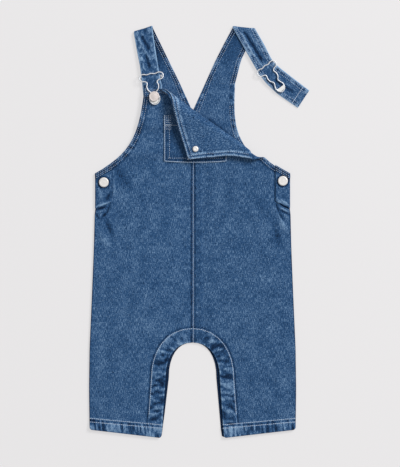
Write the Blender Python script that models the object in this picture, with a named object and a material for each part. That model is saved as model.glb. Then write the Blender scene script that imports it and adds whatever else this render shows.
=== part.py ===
"""Baby dungarees in denim, laid flat with the left bib corner rolled down over the front.

Sizes are in millimetres, measured from the hem's inner corners (y) and the centre front seam (x),
with z up from the surface that the garment lies on. Right and left are the wearer's.
"""

import math

import bmesh
import bpy
from mathutils import Vector

MM = 0.001
CENTRE = (6.9, 247.2)  # middle of the laid garment, which becomes the origin

CLOTH = 1.2  # denim, one ply
GAP = 0.3  # clear space at seams and between layers
PLY = CLOTH + GAP
STRAP_PLY = 2.0  # a strap is folded double
HALF = CLOTH / 2
FACING_DROP = 1.75  # from the middle of the front to the middle of the facing behind it

TOP_Y = 420.0  # bib top
CROTCH_Y = 115.0
SIDE_TOP_Y = 318.0  # where the armhole meets the side
FACING_Y = 345.0  # lower edge of the bib facing
HEM_DEEP = 14.0
HEM_EXTRA = 1.0  # the turned hem's extra thickness
BACK_INSET = 0.6  # how far the back's side lies inside the front's

FRONT_ACROSS = 4  # facets across each panel
BACK_ACROSS = 3
FACING_ACROSS = 6
POCKET_UP = 5
STRAP_SEAM_Y = 425.0

FRONT_LEG = {"hem_x": 37.5, "hem_y": 0.0, "arch_x": 33.0, "arch_y": 70.0}
BACK_LEG = {"hem_x": 34.5, "hem_y": 1.0, "arch_x": 28.5, "arch_y": 72.0}
ARCH_POWER = 2.25

# outer side of both halves, from the hem up: height and half width
SIDE_LINE = [
    {"y": 10.0, "x": 123.6},
    {"y": 58.0, "x": 124.3},
    {"y": 108.0, "x": 123.6},
    {"y": 166.0, "x": 121.0},
    {"y": 230.0, "x": 118.4},
    {"y": 281.0, "x": 117.2},
    {"y": 318.0, "x": 116.6},
]
# cubic curves: from the bib or shoulder, two handles, the side
ARMHOLES = {
    "right": [(57.5, 419.5), (64.0, 352.0), (80.0, 340.0), (114.8, 318.6)],
    "left": [(60.4, 417.5), (66.8, 355.2), (79.4, 333.4), (114.8, 318.2)],
    "back": [(49.6, 400.0), (49.5, 365.0), (58.0, 335.0), (114.8, 318.0)],
}
BIB_SKEW = 2.5  # the seam leans this far to the left over the bib's height
VEE_Y = 392.0  # bottom of the opening between the shoulders
SHOULDER = {"inner_x": 14.4, "outer_x": 50.9}

# the rolled corner: a cone whose axis lies along the fold
FOLD_AT = (-36.6, 418.4)
FOLD_ANGLE = math.radians(34.84)
ROLL_RADIUS = 10.2
ROLL_TAPER = 0.079
ROLL_LEAST = 2.6
ROLL_STEPS = 9
FADE_FROM = 138.0
FADE_TO = 156.0
FADE_DEEP = 9.0
FLAP_REST = 9.6
FLAP_DROP = 60.0

TAIL_RAMP_X = (-29.0, -16.0)  # where the front comes down beside the right strap's tail
TAIL_RAMP_Y = (364.0, 378.0)

POCKET = {"x0": -34.3, "x1": 41.0, "y0": 331.6, "y1": 387.0, "dip": 1.6}
TAB = {"inner_x": 97.6, "y0": 281.0, "top_y": 317.8, "slope": 0.58, "stop": 276.0, "inset": 1.8}
TAB_EDGE = {"flat_x": 115.6, "turn_x": 116.6, "side_x": 116.8, "flare": 0.6}
# the tab's turn at the side, outer face then inner: out from the side, down from the middle
TAB_TURN = [
    {"out": 0.1, "down": 0.0, "in": 1.1, "in_down": HALF},
    {"out": 0.6, "down": 1.4, "in": 0.8, "in_down": 1.6},
    {"out": 0.5, "down": 2.7, "in": 0.8, "in_down": 2.7},
]

# strap sections, both edges and the height of the middle ply
STRAPS = {
    "left": [
        {"at": "seam", "x0": 14.4, "y0": 425.3, "x1": 50.9, "y1": 425.3, "z": 1.0},
        {"at": "shoulder", "x0": 27.0, "y0": 453.0, "x1": 58.4, "y1": 454.0, "z": 1.0},
        {"at": "upper", "x0": 36.6, "y0": 472.0, "x1": 66.7, "y1": 471.0, "z": 1.0},
        {"at": "fold", "x0": 47.8, "y0": 493.0, "x1": 75.4, "y1": 490.0, "z": 1.0},
        {"at": "over", "x0": 48.2, "y0": 493.0, "x1": 76.0, "y1": 490.0, "z": 3.3},
        {"at": "front", "x0": 62.8, "y0": 466.0, "x1": 86.2, "y1": 471.5, "z": 3.3},
        {"at": "above hook", "x0": 74.4, "y0": 447.0, "x1": 93.2, "y1": 457.4, "z": 3.3},
        {"at": "hook", "x0": 80.4, "y0": 437.0, "x1": 97.0, "y1": 451.0, "z": 3.3},
        {"at": "bend", "x0": 88.4, "y0": 426.6, "x1": 104.8, "y1": 444.0, "z": 3.3},
        {"at": "tail", "x0": 102.4, "y0": 413.3, "x1": 117.3, "y1": 434.3, "z": 1.6},
        {"at": "end", "x0": 126.0, "y0": 397.2, "x1": 139.3, "y1": 417.5, "z": 1.0},
    ],
    "right": [
        {"at": "seam", "x0": -50.9, "y0": 425.3, "x1": -14.4, "y1": 425.3, "z": 1.0},
        {"at": "shoulder", "x0": -58.4, "y0": 454.0, "x1": -28.4, "y1": 453.6, "z": 1.0},
        {"at": "upper", "x0": -65.2, "y0": 470.0, "x1": -37.3, "y1": 472.0, "z": 1.0},
        {"at": "fold", "x0": -70.2, "y0": 486.4, "x1": -48.0, "y1": 493.4, "z": 1.0},
        {"at": "over", "x0": -70.6, "y0": 486.4, "x1": -48.4, "y1": 493.4, "z": 3.3},
        {"at": "front", "x0": -66.4, "y0": 462.0, "x1": -44.6, "y1": 466.8, "z": 3.3},
        {"at": "above hook", "x0": -63.2, "y0": 446.0, "x1": -41.6, "y1": 448.0, "z": 4.2},
        {"at": "hook", "x0": -61.6, "y0": 434.0, "x1": -40.0, "y1": 437.0, "z": 4.6},
        {"at": "below hook", "x0": -60.9, "y0": 428.6, "x1": -38.6, "y1": 431.2, "z": 4.6},
        {"at": "bib top", "x0": -60.2, "y0": 422.0, "x1": -37.2, "y1": 424.5, "z": 3.4},
        {"at": "tail", "x0": -59.0, "y0": 410.0, "x1": -35.4, "y1": 412.0, "z": 2.5},
        {"at": "end", "x0": -55.5, "y0": 381.0, "x1": -31.0, "y1": 384.0, "z": 2.5},
    ],
}

# half outline of the wire hook, from the middle of its top bar round to the loop's foot
HOOK_OUTLINE = [
    {"x": 0.0, "y": 30.6},
    {"x": 4.6, "y": 29.6},
    {"x": 9.4, "y": 30.7},
    {"x": 13.0, "y": 29.6},
    {"x": 14.6, "y": 26.4},
    {"x": 12.6, "y": 22.8},
    {"x": 8.6, "y": 21.8},
    {"x": 6.0, "y": 19.6},
    {"x": 7.1, "y": 15.4},
    {"x": 6.2, "y": 11.2},
    {"x": 3.5, "y": 7.8},
    {"x": 4.4, "y": 4.6},
    {"x": 6.0, "y": 1.0},
    {"x": 5.4, "y": -3.0},
    {"x": 3.0, "y": -6.0},
    {"x": 0.0, "y": -6.9},
]
WIRE = 0.85
HOOKS = {
    "right": {"x": -45.4, "y": 407.1, "turn": 9.1, "bar_z": 6.9, "loop_z": 9.6, "strap": 4.6},
    "left": {"x": 104.4, "y": 421.8, "turn": 36.0, "bar_z": 5.8, "loop_z": 5.6, "strap": 3.3},
}
SLIDE_BAR = {"y": 25.6, "half": 13.2, "thick": 1.0, "wide": 3.0}
HOOK_PLATE = {"radius": 4.75, "thick": 0.8, "foot": -1.2, "narrow": 0.92, "scoop": 0.04}

BUTTON_AT = {"right": (-45.7, 409.1), "left": (49.3, 405.5)}
SIDE_BUTTON_AT = {"right": (-106.4, 306.8), "left": (108.3, 308.5)}

COLOURS = {
    "denim": (0.055, 0.11, 0.22, 1.0),
    "denim_inside": (0.06, 0.12, 0.23, 1.0),
    "nickel": (0.72, 0.71, 0.69, 1.0),
    "cap": (0.86, 0.84, 0.80, 1.0),
}


def smooth(value, low, high):
    """Goes smoothly from 0 at low to 1 at high."""
    t = min(1.0, max(0.0, (value - low) / (high - low)))
    return t * t * (3 - 2 * t)


def spread(low, high, steps):
    """Even values after low, up to high."""
    return [low + (high - low) * (i + 1) / steps for i in range(steps)]


def bezier(points, t):
    a, b, c, d = (Vector(p) for p in points)
    s = 1 - t
    return a * s**3 + b * 3 * s * s * t + c * 3 * s * t * t + d * t**3


def side_x(y):
    """Half width of the garment at a height, less the room the wrapped tab needs."""
    for low, high in zip(SIDE_LINE, SIDE_LINE[1:]):
        if y <= high["y"]:
            break
    part = (y - low["y"]) / (high["y"] - low["y"])
    return low["x"] + (high["x"] - low["x"]) * part - TAB["inset"] * smooth(y, 266.0, TAB["stop"])


# ---- heights of the layers ----


def front_height(x, y):
    """Middle of the front's cloth, over the back, the facing and the right strap's tail."""
    height = CLOTH + GAP + HALF
    height += FACING_DROP * smooth(y, FACING_Y - 14.0, FACING_Y - 2.0)
    height += HEM_EXTRA * (1 - smooth(y, HEM_DEEP, HEM_DEEP + 8.0))
    over_tail = smooth(y, *TAIL_RAMP_Y) * (1 - smooth(x, *TAIL_RAMP_X))
    return height + over_tail * (2.3 + 0.9 * smooth(y, 402.0, 414.0))


def fold_frame(x, y):
    """Distance along and across the fold, the roll's radius there and how far past its start."""
    dx = x - FOLD_AT[0]
    dy = y - FOLD_AT[1]
    along = dx * math.cos(FOLD_ANGLE) - dy * math.sin(FOLD_ANGLE)
    across = dx * math.sin(FOLD_ANGLE) + dy * math.cos(FOLD_ANGLE)
    radius = max(ROLL_RADIUS - ROLL_TAPER * along, ROLL_LEAST)
    past = across + radius - FADE_DEEP * smooth(along, FADE_FROM, FADE_TO)
    return along, across, radius, past


def on_front(x, y, off):
    """A point of the front moved out from the middle of its cloth, rolled over past the fold."""
    along, across, radius, past = fold_frame(x, y)
    flat = front_height(x, y)
    if past <= 0:
        return (x, y, flat + off)
    base = CLOTH + GAP + HALF + FACING_DROP
    turned = min(past / radius, math.pi)
    ease = smooth(past, 2.0, 24.0)
    start = flat * (1 - ease) + base * ease
    reach = -radius + (radius - off) * math.sin(turned)
    rise = radius * (1 - math.cos(turned)) * smooth(turned, 0.5, 1.4)
    height = start + rise + off * math.cos(turned)
    beyond = past - math.pi * radius
    if beyond > 0:
        reach -= beyond
        height += (FLAP_REST - base - 2 * radius) * smooth(beyond, 0.0, FLAP_DROP)
    reach += across + radius - past
    slip = along - (math.pi - 2) * ROLL_TAPER * past * (1 if radius > ROLL_LEAST else 0.8)
    px = FOLD_AT[0] + slip * math.cos(FOLD_ANGLE) + reach * math.sin(FOLD_ANGLE)
    py = FOLD_AT[1] - slip * math.sin(FOLD_ANGLE) + reach * math.cos(FOLD_ANGLE)
    return (px, py, height)


def on_back(x, y, off):
    return (x, y, HALF + off)


# ---- making solids ----


def material(name):
    found = bpy.data.materials.get(name)
    if found:
        return found
    made = bpy.data.materials.new(name)
    made.use_nodes = True
    shader = made.node_tree.nodes["Principled BSDF"]
    metal = name in ("nickel", "cap")
    shader.inputs["Base Color"].default_value = COLOURS[name]
    shader.inputs["Roughness"].default_value = 0.32 if metal else 0.88
    shader.inputs["Metallic"].default_value = 0.9 if metal else 0.0
    return made


def solid(name, points, faces, colour):
    """One closed node from points in millimetres."""
    mesh = bpy.data.meshes.new(name)
    moved = [((x - CENTRE[0]) * MM, (y - CENTRE[1]) * MM, z * MM) for x, y, z in points]
    mesh.from_pydata(moved, [], faces)
    work = bmesh.new()
    work.from_mesh(mesh)
    bmesh.ops.recalc_face_normals(work, faces=work.faces)
    work.to_mesh(mesh)
    work.free()
    mesh.materials.append(material(colour))
    node = bpy.data.objects.new(name, mesh)
    bpy.context.scene.collection.objects.link(node)
    return node


def sheet_between(inner, outer, across):
    """A flat ruled sheet from its inner edge's points to its outer edge's."""
    flat = bmesh.new()
    rows = []
    for a, b in zip(inner, outer):
        start = Vector((a[0], a[1], 0.0))
        end = Vector((b[0], b[1], 0.0))
        rows.append([flat.verts.new(start.lerp(end, i / across)) for i in range(across + 1)])
    for low, high in zip(rows, rows[1:]):
        for i in range(across):
            flat.faces.new((low[i], low[i + 1], high[i + 1], high[i]))
    return flat


def cut_flat(flat, at, direction, where):
    """Cuts the faces of a flat sheet whose middle passes a test, along a line."""
    flat.normal_update()
    for face in flat.faces:
        middle = face.calc_center_median()
        face.tag = where(middle.x, middle.y)
    faces = [f for f in flat.faces if f.tag]
    edges = [e for e in flat.edges if any(f.tag for f in e.link_faces)]
    verts = [v for v in flat.verts if any(f.tag for f in v.link_faces)]
    bmesh.ops.bisect_plane(
        flat,
        geom=verts + edges + faces,
        dist=0.001,
        plane_co=Vector((at[0], at[1], 0.0)),
        plane_no=Vector((-direction[1], direction[0], 0.0)),
    )


def crease_lines(flat):
    """Cuts a sheet along the lines that the roll turns about."""
    forward = Vector((math.cos(FOLD_ANGLE), -math.sin(FOLD_ANGLE)))
    outward = Vector((math.sin(FOLD_ANGLE), math.cos(FOLD_ANGLE)))
    origin = Vector(FOLD_AT)
    narrow = (ROLL_RADIUS - ROLL_LEAST) / ROLL_TAPER

    def on_cone(x, y):
        return y > SIDE_TOP_Y and fold_frame(x, y)[0] < narrow

    def on_cylinder(x, y):
        return y > SIDE_TOP_Y and fold_frame(x, y)[0] > narrow

    cut_flat(flat, origin + forward * narrow, outward, lambda x, y: y > SIDE_TOP_Y)
    for part in (0.0, 0.33, 0.67, 1.0):
        ramp_x = TAIL_RAMP_X[0] + (TAIL_RAMP_X[1] - TAIL_RAMP_X[0]) * part
        ramp_y = TAIL_RAMP_Y[0] + (TAIL_RAMP_Y[1] - TAIL_RAMP_Y[0]) * part
        cut_flat(flat, (ramp_x, 0.0), (0.0, 1.0), lambda x, y: y > TAIL_RAMP_Y[0] - 8.0)
        cut_flat(flat, (0.0, ramp_y), (1.0, 0.0), lambda x, y: x < TAIL_RAMP_X[1] + 8.0)
    for step in range(ROLL_STEPS + 1):
        turned = math.pi * step / ROLL_STEPS
        start = origin + outward * ROLL_RADIUS * (turned - 1)
        end = origin + forward * narrow + outward * ROLL_LEAST * (turned - 1)
        cut_flat(flat, start, end - start, on_cone)
        cut_flat(flat, end, forward, on_cylinder)


def cloth(name, flat, place, colour, lower=-HALF, upper=lambda x, y: HALF):
    """A wall of cloth from a flat sheet: its two faces and the edge all round."""
    bmesh.ops.triangulate(flat, faces=flat.faces[:])
    flat.verts.index_update()
    plan = [(v.co.x, v.co.y) for v in flat.verts]
    count = len(plan)
    points = [place(x, y, upper(x, y)) for x, y in plan]
    points += [place(x, y, lower) for x, y in plan]
    faces = []
    for face in flat.faces:
        ring = [v.index for v in face.verts]
        faces.append(ring)
        faces.append([i + count for i in reversed(ring)])
    for edge in flat.edges:
        if len(edge.link_faces) != 1:
            continue
        loop = next(c for c in edge.link_loops)
        a = loop.vert.index
        b = loop.link_loop_next.vert.index
        faces.append([b, a, a + count, b + count])
    flat.free()
    return solid(name, points, faces, colour)


def wall_from_rows(name, tops, bottoms, colour):
    """A wall from matching rows of points on its two faces."""
    wide = len(tops[0])
    points = [p for row in tops for p in row] + [p for row in bottoms for p in row]
    count = len(tops) * wide
    faces = []
    for j in range(len(tops) - 1):
        for i in range(wide - 1):
            a = j * wide + i
            quad = [a, a + 1, a + 1 + wide, a + wide]
            faces.append(quad)
            faces.append([k + count for k in reversed(quad)])
    rim = list(range(wide))
    rim += [j * wide + wide - 1 for j in range(1, len(tops))]
    rim += [count - 1 - i for i in range(1, wide)]
    rim += [j * wide for j in range(len(tops) - 2, 0, -1)]
    for a, b in zip(rim, rim[1:] + rim[:1]):
        faces.append([b, a, a + count, b + count])
    return solid(name, points, faces, colour)


def turned(name, at, base, profile, sides, colour):
    """A round piece from its profile, a list of radius and height."""
    points = [(at[0], at[1], base + profile[0][1])]
    for radius, height in profile[1:-1]:
        for k in range(sides):
            angle = 2 * math.pi * k / sides
            points.append(
                (at[0] + radius * math.cos(angle), at[1] + radius * math.sin(angle), base + height)
            )
    points.append((at[0], at[1], base + profile[-1][1]))
    last = len(points) - 1
    rings = len(profile) - 2
    faces = []
    for k in range(sides):
        after = (k + 1) % sides
        faces.append([0, 1 + after, 1 + k])
        for ring in range(rings - 1):
            a = 1 + ring * sides
            faces.append([a + k, a + after, a + sides + after, a + sides + k])
        top = 1 + (rings - 1) * sides
        faces.append([top + k, top + after, last])
    return solid(name, points, faces, colour)


# ---- the cloth pieces ----


def leg_edge(leg):
    """Inner edge of a half: up the leg and round the crotch arch to the centre seam."""
    points = [(leg["hem_x"], leg["hem_y"]), (leg["hem_x"] - 1.2, HEM_DEEP)]
    for y in spread(HEM_DEEP, leg["arch_y"], 4):
        part = (y - leg["hem_y"]) / (leg["arch_y"] - leg["hem_y"])
        points.append((leg["hem_x"] + (leg["arch_x"] - leg["hem_x"]) * part, y))
    for angle in spread(0.0, math.pi / 2, 8):
        x = leg["arch_x"] * max(0.0, math.cos(angle)) ** (2 / ARCH_POWER)
        y = leg["arch_y"] + (CROTCH_Y - leg["arch_y"]) * math.sin(angle) ** (2 / ARCH_POWER)
        points.append((max(x, GAP / 2), y))
    return points


def side_edge():
    """Outer edge of a half from the hem to the side's top, in step with leg_edge and the seam."""
    heights = [10.0, 23.0] + spread(23.0, 76.0, 4) + spread(76.0, 152.0, 8)
    heights += spread(152.0, SIDE_TOP_Y, 10)
    return [(side_x(y), y) for y in heights]


def front_half(side):
    """One front, from its hem to the bib's top edge."""
    sign = 1 if side == "left" else -1
    inner = leg_edge(FRONT_LEG)
    for y in spread(CROTCH_Y, SIDE_TOP_Y, 10) + spread(SIDE_TOP_Y, TOP_Y, 12):
        inner.append((GAP / 2, y))
    outer = side_edge()
    for t in spread(0.0, 1.0, 12):
        point = bezier(ARMHOLES[side], 1 - t)
        outer.append((point.x, point.y))
    flat = sheet_between(
        [(sign * x + seam_lean(y), y) for x, y in inner],
        [(sign * x, y) for x, y in outer],
        FRONT_ACROSS,
    )
    crease_lines(flat)

    def outside(x, y):
        return HALF + HEM_EXTRA * (1 - smooth(y, HEM_DEEP - 2.0, HEM_DEEP + 2.0))

    return cloth("front_" + side, flat, on_front, "denim", upper=outside)


def seam_lean(y):
    return BIB_SKEW * smooth(y, SIDE_TOP_Y, TOP_Y)


def bib_facing():
    """The layer behind the bib, which shows where the corner is rolled down."""
    edges = []
    for side, sign in (("right", -1), ("left", 1)):
        line = [bezier(ARMHOLES[side], k / 60) for k in range(61)]
        rows = spread(FACING_Y - 3.0, ARMHOLES[side][0][1] - 0.4, 10)
        edges.append([(sign * (min(line, key=lambda p: abs(p.y - y)).x - 0.6), y) for y in rows])
    flat = sheet_between(edges[0], edges[1], FACING_ACROSS)
    crease_lines(flat)

    def behind(x, y, off):
        return on_front(x, y, off - FACING_DROP)

    return cloth("bib_facing", flat, behind, "denim_inside")


def chest_pocket():
    across = spread(POCKET["x0"], POCKET["x1"], 6)
    across.insert(0, POCKET["x0"])
    middle = (POCKET["x0"] + POCKET["x1"]) / 2
    half = (POCKET["x1"] - POCKET["x0"]) / 2
    foot = [(x, POCKET["y0"] - POCKET["dip"] * (1 - ((x - middle) / half) ** 2)) for x in across]
    flat = sheet_between(foot, [(x, POCKET["y1"]) for x in across], POCKET_UP)
    bmesh.ops.reverse_faces(flat, faces=flat.faces[:])
    crease_lines(flat)
    return cloth("chest_pocket", flat, lambda x, y, off: on_front(x, y, off + PLY), "denim")


def back_half(side):
    """One back, from its hem to the top of its shoulder, where the strap is sewn on."""
    sign = 1 if side == "left" else -1
    inner = leg_edge(BACK_LEG)
    for y in spread(CROTCH_Y, SIDE_TOP_Y, 10) + spread(SIDE_TOP_Y, VEE_Y, 8):
        inner.append((GAP / 2, y))
    outer = side_edge()
    for t in spread(0.0, 1.0, 8):
        point = bezier(ARMHOLES["back"], 1 - t)
        outer.append((point.x, point.y))
    corner = Vector(ARMHOLES["back"][0])
    shoulder = Vector((SHOULDER["outer_x"], STRAP_SEAM_Y))
    vee = Vector((GAP / 2, VEE_Y))
    neck = Vector((SHOULDER["inner_x"], STRAP_SEAM_Y))
    for t in spread(0.0, 1.0, 3):
        inner.append(tuple(vee.lerp(neck, t)))
        outer.append(tuple(corner.lerp(shoulder, t)))
    outer = [(x - BACK_INSET * (1 - smooth(y, 300.0, SIDE_TOP_Y)), y) for x, y in outer]
    flat = sheet_between(
        [(sign * x, y) for x, y in inner],
        [(sign * x, y) for x, y in outer],
        BACK_ACROSS,
    )

    def inside(x, y):
        return HALF + HEM_EXTRA * (1 - smooth(y, HEM_DEEP - 2.0, HEM_DEEP + 2.0))

    return cloth("back_" + side, flat, on_back, "denim", upper=inside)


def strap(side):
    """A strap: up from the shoulder, folded over at the top and down through its hook."""
    sections = []
    for row in STRAPS[side]:
        left = Vector((row["x0"], row["y0"], row["z"]))
        right = Vector((row["x1"], row["y1"], row["z"]))
        sections.append((left, right))
        if row["at"] == "fold":
            turn = (STRAP_PLY + GAP) / 2
            for angle in (-45.0, 0.0, 45.0):
                out = Vector((0.0, turn * math.cos(math.radians(angle)), 0.0))
                lift = Vector((0.0, 0.0, turn + turn * math.sin(math.radians(angle))))
                sections.append((left + out + lift, right + out + lift))
    tops = []
    bottoms = []
    for k, (left, right) in enumerate(sections):
        before = sections[max(k - 1, 0)]
        after = sections[min(k + 1, len(sections) - 1)]
        forward = (after[0] + after[1] - before[0] - before[1]).normalized()
        normal = (right - left).normalized().cross(forward).normalized()
        edge = [left.lerp(right, i / 4) for i in range(5)]
        tops.append([p + normal * STRAP_PLY / 2 for p in edge])
        bottoms.append([p - normal * STRAP_PLY / 2 for p in edge])
    return wall_from_rows("strap_" + side, tops, bottoms, "denim")


def side_tab(side):
    """The back's side extension: round the side and over the front, as far as the button needs."""
    sign = 1 if side == "left" else -1
    middle = 2 * CLOTH + 2 * GAP + HALF
    tops = []
    bottoms = []
    for t in [0.0] + spread(0.0, 1.0, 8):
        top = []
        bottom = []
        for x in [TAB["inner_x"]] + spread(TAB["inner_x"], TAB_EDGE["flat_x"], 4):
            rise = TAB["slope"] * (TAB_EDGE["turn_x"] - x)
            y = TAB["y0"] + t * (TAB["top_y"] + rise - TAB["y0"])
            top.append((sign * x, y, middle + HALF))
            bottom.append((sign * x, y, middle - HALF))
        y = TAB["y0"] + t * (TAB["top_y"] - TAB["y0"])
        edge = TAB_EDGE["side_x"] + TAB_EDGE["flare"] * (1 - t)
        for row in TAB_TURN:
            top.append((sign * (edge + row["out"]), y, middle - row["down"]))
            bottom.append((sign * (edge - row["in"]), y, middle - row["in_down"]))
        tops.append(top)
        bottoms.append(bottom)
    return wall_from_rows("side_tab_" + side, tops, bottoms, "denim")


# ---- the metal pieces ----


def hook_frame(side):
    """Turns a hook's own x and y into the garment's, with the height for the tilt of the hook."""
    hook = HOOKS[side]
    angle = math.radians(hook["turn"])
    climb = hook["bar_z"] - hook["loop_z"]

    def place(x, y, lift=0.0):
        return (
            hook["x"] + x * math.cos(angle) - y * math.sin(angle),
            hook["y"] + x * math.sin(angle) + y * math.cos(angle),
            hook["loop_z"] + climb * smooth(y, 12.0, 30.0) + lift,
        )

    return place


def rounded_path(points, steps):
    """A closed smooth path through points."""
    count = len(points)
    path = []
    for i in range(count):
        a, b, c, d = (Vector(points[(i + k) % count]) for k in (-1, 0, 1, 2))
        for step in range(steps):
            t = step / steps
            path.append(
                (
                    2 * b
                    + (c - a) * t
                    + (2 * a - 5 * b + 4 * c - d) * t * t
                    + (3 * b - a - 3 * c + d) * t**3
                )
                / 2
            )
    return path


def wire_hook(side):
    place = hook_frame(side)
    half = [(row["x"], row["y"]) for row in HOOK_OUTLINE]
    outline = half + [(-x, y) for x, y in reversed(half[1:-1])]
    path = rounded_path([place(x, y) for x, y in outline], 2)
    sides = 6
    points = []
    for i, at in enumerate(path):
        forward = (path[(i + 1) % len(path)] - path[i - 1]).normalized()
        out = forward.cross(Vector((0, 0, 1))).normalized()
        up = out.cross(forward)
        for k in range(sides):
            angle = 2 * math.pi * k / sides
            points.append(tuple(at + (out * math.cos(angle) + up * math.sin(angle)) * WIRE))
    faces = []
    for i in range(len(path)):
        here = i * sides
        after = (i + 1) % len(path) * sides
        for k in range(sides):
            beside = (k + 1) % sides
            faces.append([here + k, here + beside, after + beside, after + k])
    return solid("hook_" + side, points, faces, "nickel")


def slide_bar(side):
    """The flat bar behind the strap, which the strap passes over."""
    place = hook_frame(side)
    below = HOOKS[side]["strap"] - STRAP_PLY / 2 - GAP
    tops = []
    bottoms = []
    for x in (-SLIDE_BAR["half"], 0.0, SLIDE_BAR["half"]):
        row = [place(x, SLIDE_BAR["y"] + k * SLIDE_BAR["wide"] / 2) for k in (-1, 1)]
        tops.append([(p[0], p[1], below) for p in row])
        bottoms.append([(p[0], p[1], below - SLIDE_BAR["thick"]) for p in row])
    return wall_from_rows("hook_bar_" + side, tops, bottoms, "nickel")


def hook_plate(side):
    """The stamped plate that fills the lower half of the hook's loop."""
    place = hook_frame(side)
    steps = 10
    rim = []
    for k in range(steps + 1):
        angle = math.pi * (1 + k / steps)
        x = HOOK_PLATE["radius"] * math.cos(angle)
        rim.append((x, HOOK_PLATE["foot"] + HOOK_PLATE["radius"] * math.sin(angle)))
    foot = HOOK_PLATE["foot"]
    inner = [(x * HOOK_PLATE["narrow"], foot + (y - foot) * HOOK_PLATE["scoop"]) for x, y in rim]
    half = HOOK_PLATE["thick"] / 2
    tops = [[place(*a, half), place(*b, half)] for a, b in zip(rim, inner)]
    bottoms = [[place(*a, -half), place(*b, -half)] for a, b in zip(rim, inner)]
    return wall_from_rows("hook_plate_" + side, tops, bottoms, "nickel")


def buttons():
    """Bib buttons, the tack that shows on the rolled corner and the side buttons."""
    x, y = BUTTON_AT["right"]
    head = [(0, 0), (2.2, 0), (2.2, 2.8), (6.4, 2.8), (6.6, 3.9), (5.6, 4.8), (3.0, 5.2), (0, 5.3)]
    turned("bib_button_right", (x, y), front_height(x, y) + HALF + GAP, head, 20, "nickel")
    x, y, z = on_front(*BUTTON_AT["left"], 0.0)
    under = [(0, -3.6), (6.2, -3.6), (6.5, -2.4), (6.3, -1.6), (2.2, -1.6), (2.2, 0), (0, 0)]
    turned("bib_button_left", (x, y), z - HALF - GAP, under, 20, "nickel")
    tack = [(0, 0), (3.6, 0), (3.6, 0.5), (2.6, 1.2), (1.2, 1.5), (0, 1.5)]
    turned("bib_stud_left", (x, y), z + HALF + FACING_DROP + 2 * GAP, tack, 16, "nickel")
    cap = [(0, 0), (5.6, 0), (6.0, 0.9), (5.6, 2.0), (4.2, 2.6), (0, 2.7)]
    base = 3 * CLOTH + 3 * GAP
    for side, at in SIDE_BUTTON_AT.items():
        turned("side_button_" + side, at, base, cap, 20, "cap")


def main():
    for old in list(bpy.data.objects):
        bpy.data.objects.remove(old)
    bib_facing()
    chest_pocket()
    for side in ("right", "left"):
        back_half(side)
        front_half(side)
        strap(side)
        side_tab(side)
        wire_hook(side)
        slide_bar(side)
        hook_plate(side)
    buttons()


main()
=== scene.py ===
import math

import bmesh
import bpy
import numpy as np
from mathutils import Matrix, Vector


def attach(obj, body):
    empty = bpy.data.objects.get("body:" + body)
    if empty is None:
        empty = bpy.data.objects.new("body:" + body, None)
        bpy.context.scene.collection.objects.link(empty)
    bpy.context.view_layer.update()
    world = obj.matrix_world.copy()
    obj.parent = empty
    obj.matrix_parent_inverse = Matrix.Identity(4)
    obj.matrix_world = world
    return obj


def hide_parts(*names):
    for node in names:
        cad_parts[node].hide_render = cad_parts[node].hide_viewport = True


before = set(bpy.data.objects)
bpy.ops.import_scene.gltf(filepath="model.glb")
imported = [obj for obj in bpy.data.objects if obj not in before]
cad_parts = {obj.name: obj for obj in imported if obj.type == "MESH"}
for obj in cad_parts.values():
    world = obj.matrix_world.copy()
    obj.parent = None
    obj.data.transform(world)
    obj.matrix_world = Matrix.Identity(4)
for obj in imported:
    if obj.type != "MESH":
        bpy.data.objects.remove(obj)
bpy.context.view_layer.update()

# All sizes are millimetres of the laid garment: x from the centre front seam, y up from the
# hems' inner corners, z up from the surface. Right and left are the wearer's.
millimetre = 0.001
garment = {"middleX": 6.9, "middleY": 247.2, "ply": 1.2, "gap": 0.3, "seam": 0.02, "grid": 1.5}
halfPly = garment["ply"] / 2


def smooth(value, low, high):
    t = np.clip((value - low) / (high - low), 0.0, 1.0)
    return t * t * (3 - 2 * t)


def bump(value, middle, reach):
    # a soft ridge, 1 in the middle and 0 beyond its reach
    return 1 - smooth(np.abs(value - middle), 0.0, reach)


def evenSteps(low, high, steps):
    return [low + (high - low) * (i + 1) / steps for i in range(steps)]


def cubic(points, t):
    a, b, c, d = (np.array(p, float) for p in points)
    s = 1 - np.asarray(t, float)[:, None]
    t = np.asarray(t, float)[:, None]
    return a * s**3 + b * 3 * s * s * t + c * 3 * s * t * t + d * t**3


def latticeNoise(x, y, seed):
    # smooth noise from -1 to 1, the same on every run
    def corner(i, j):
        n = (i.astype(np.int64) * 374761393 + j.astype(np.int64) * 668265263 + seed * 974711) & 0x7FFFFFFF
        n = (n ^ (n >> 13)) * 1274126177 & 0x7FFFFFFF
        return ((n ^ (n >> 16)) & 0xFFFF) / 32767.5 - 1

    i, j = np.floor(x), np.floor(y)
    u, v = x - i, y - j
    u, v = u * u * (3 - 2 * u), v * v * (3 - 2 * v)
    low = corner(i, j) * (1 - u) + corner(i + 1, j) * u
    high = corner(i, j + 1) * (1 - u) + corner(i + 1, j + 1) * u
    return low * (1 - v) + high * v


def distanceToPath(x, y, path):
    # nearest distance to a path, and how far along it that is
    best = np.full(np.broadcast(x, y).shape, 1e9)
    along = np.zeros(best.shape)
    run = 0.0
    for (ax, ay), (bx, by) in zip(path, path[1:]):
        dx, dy = bx - ax, by - ay
        length = math.hypot(dx, dy)
        t = np.clip(((x - ax) * dx + (y - ay) * dy) / max(length * length, 1e-9), 0, 1)
        far = np.hypot(x - ax - dx * t, y - ay - dy * t)
        closer = far < best
        best = np.where(closer, far, best)
        along = np.where(closer, run + length * t, along)
        run += length
    return best, along


# ---- the cut and the way it lies, as in the solids ----

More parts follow.
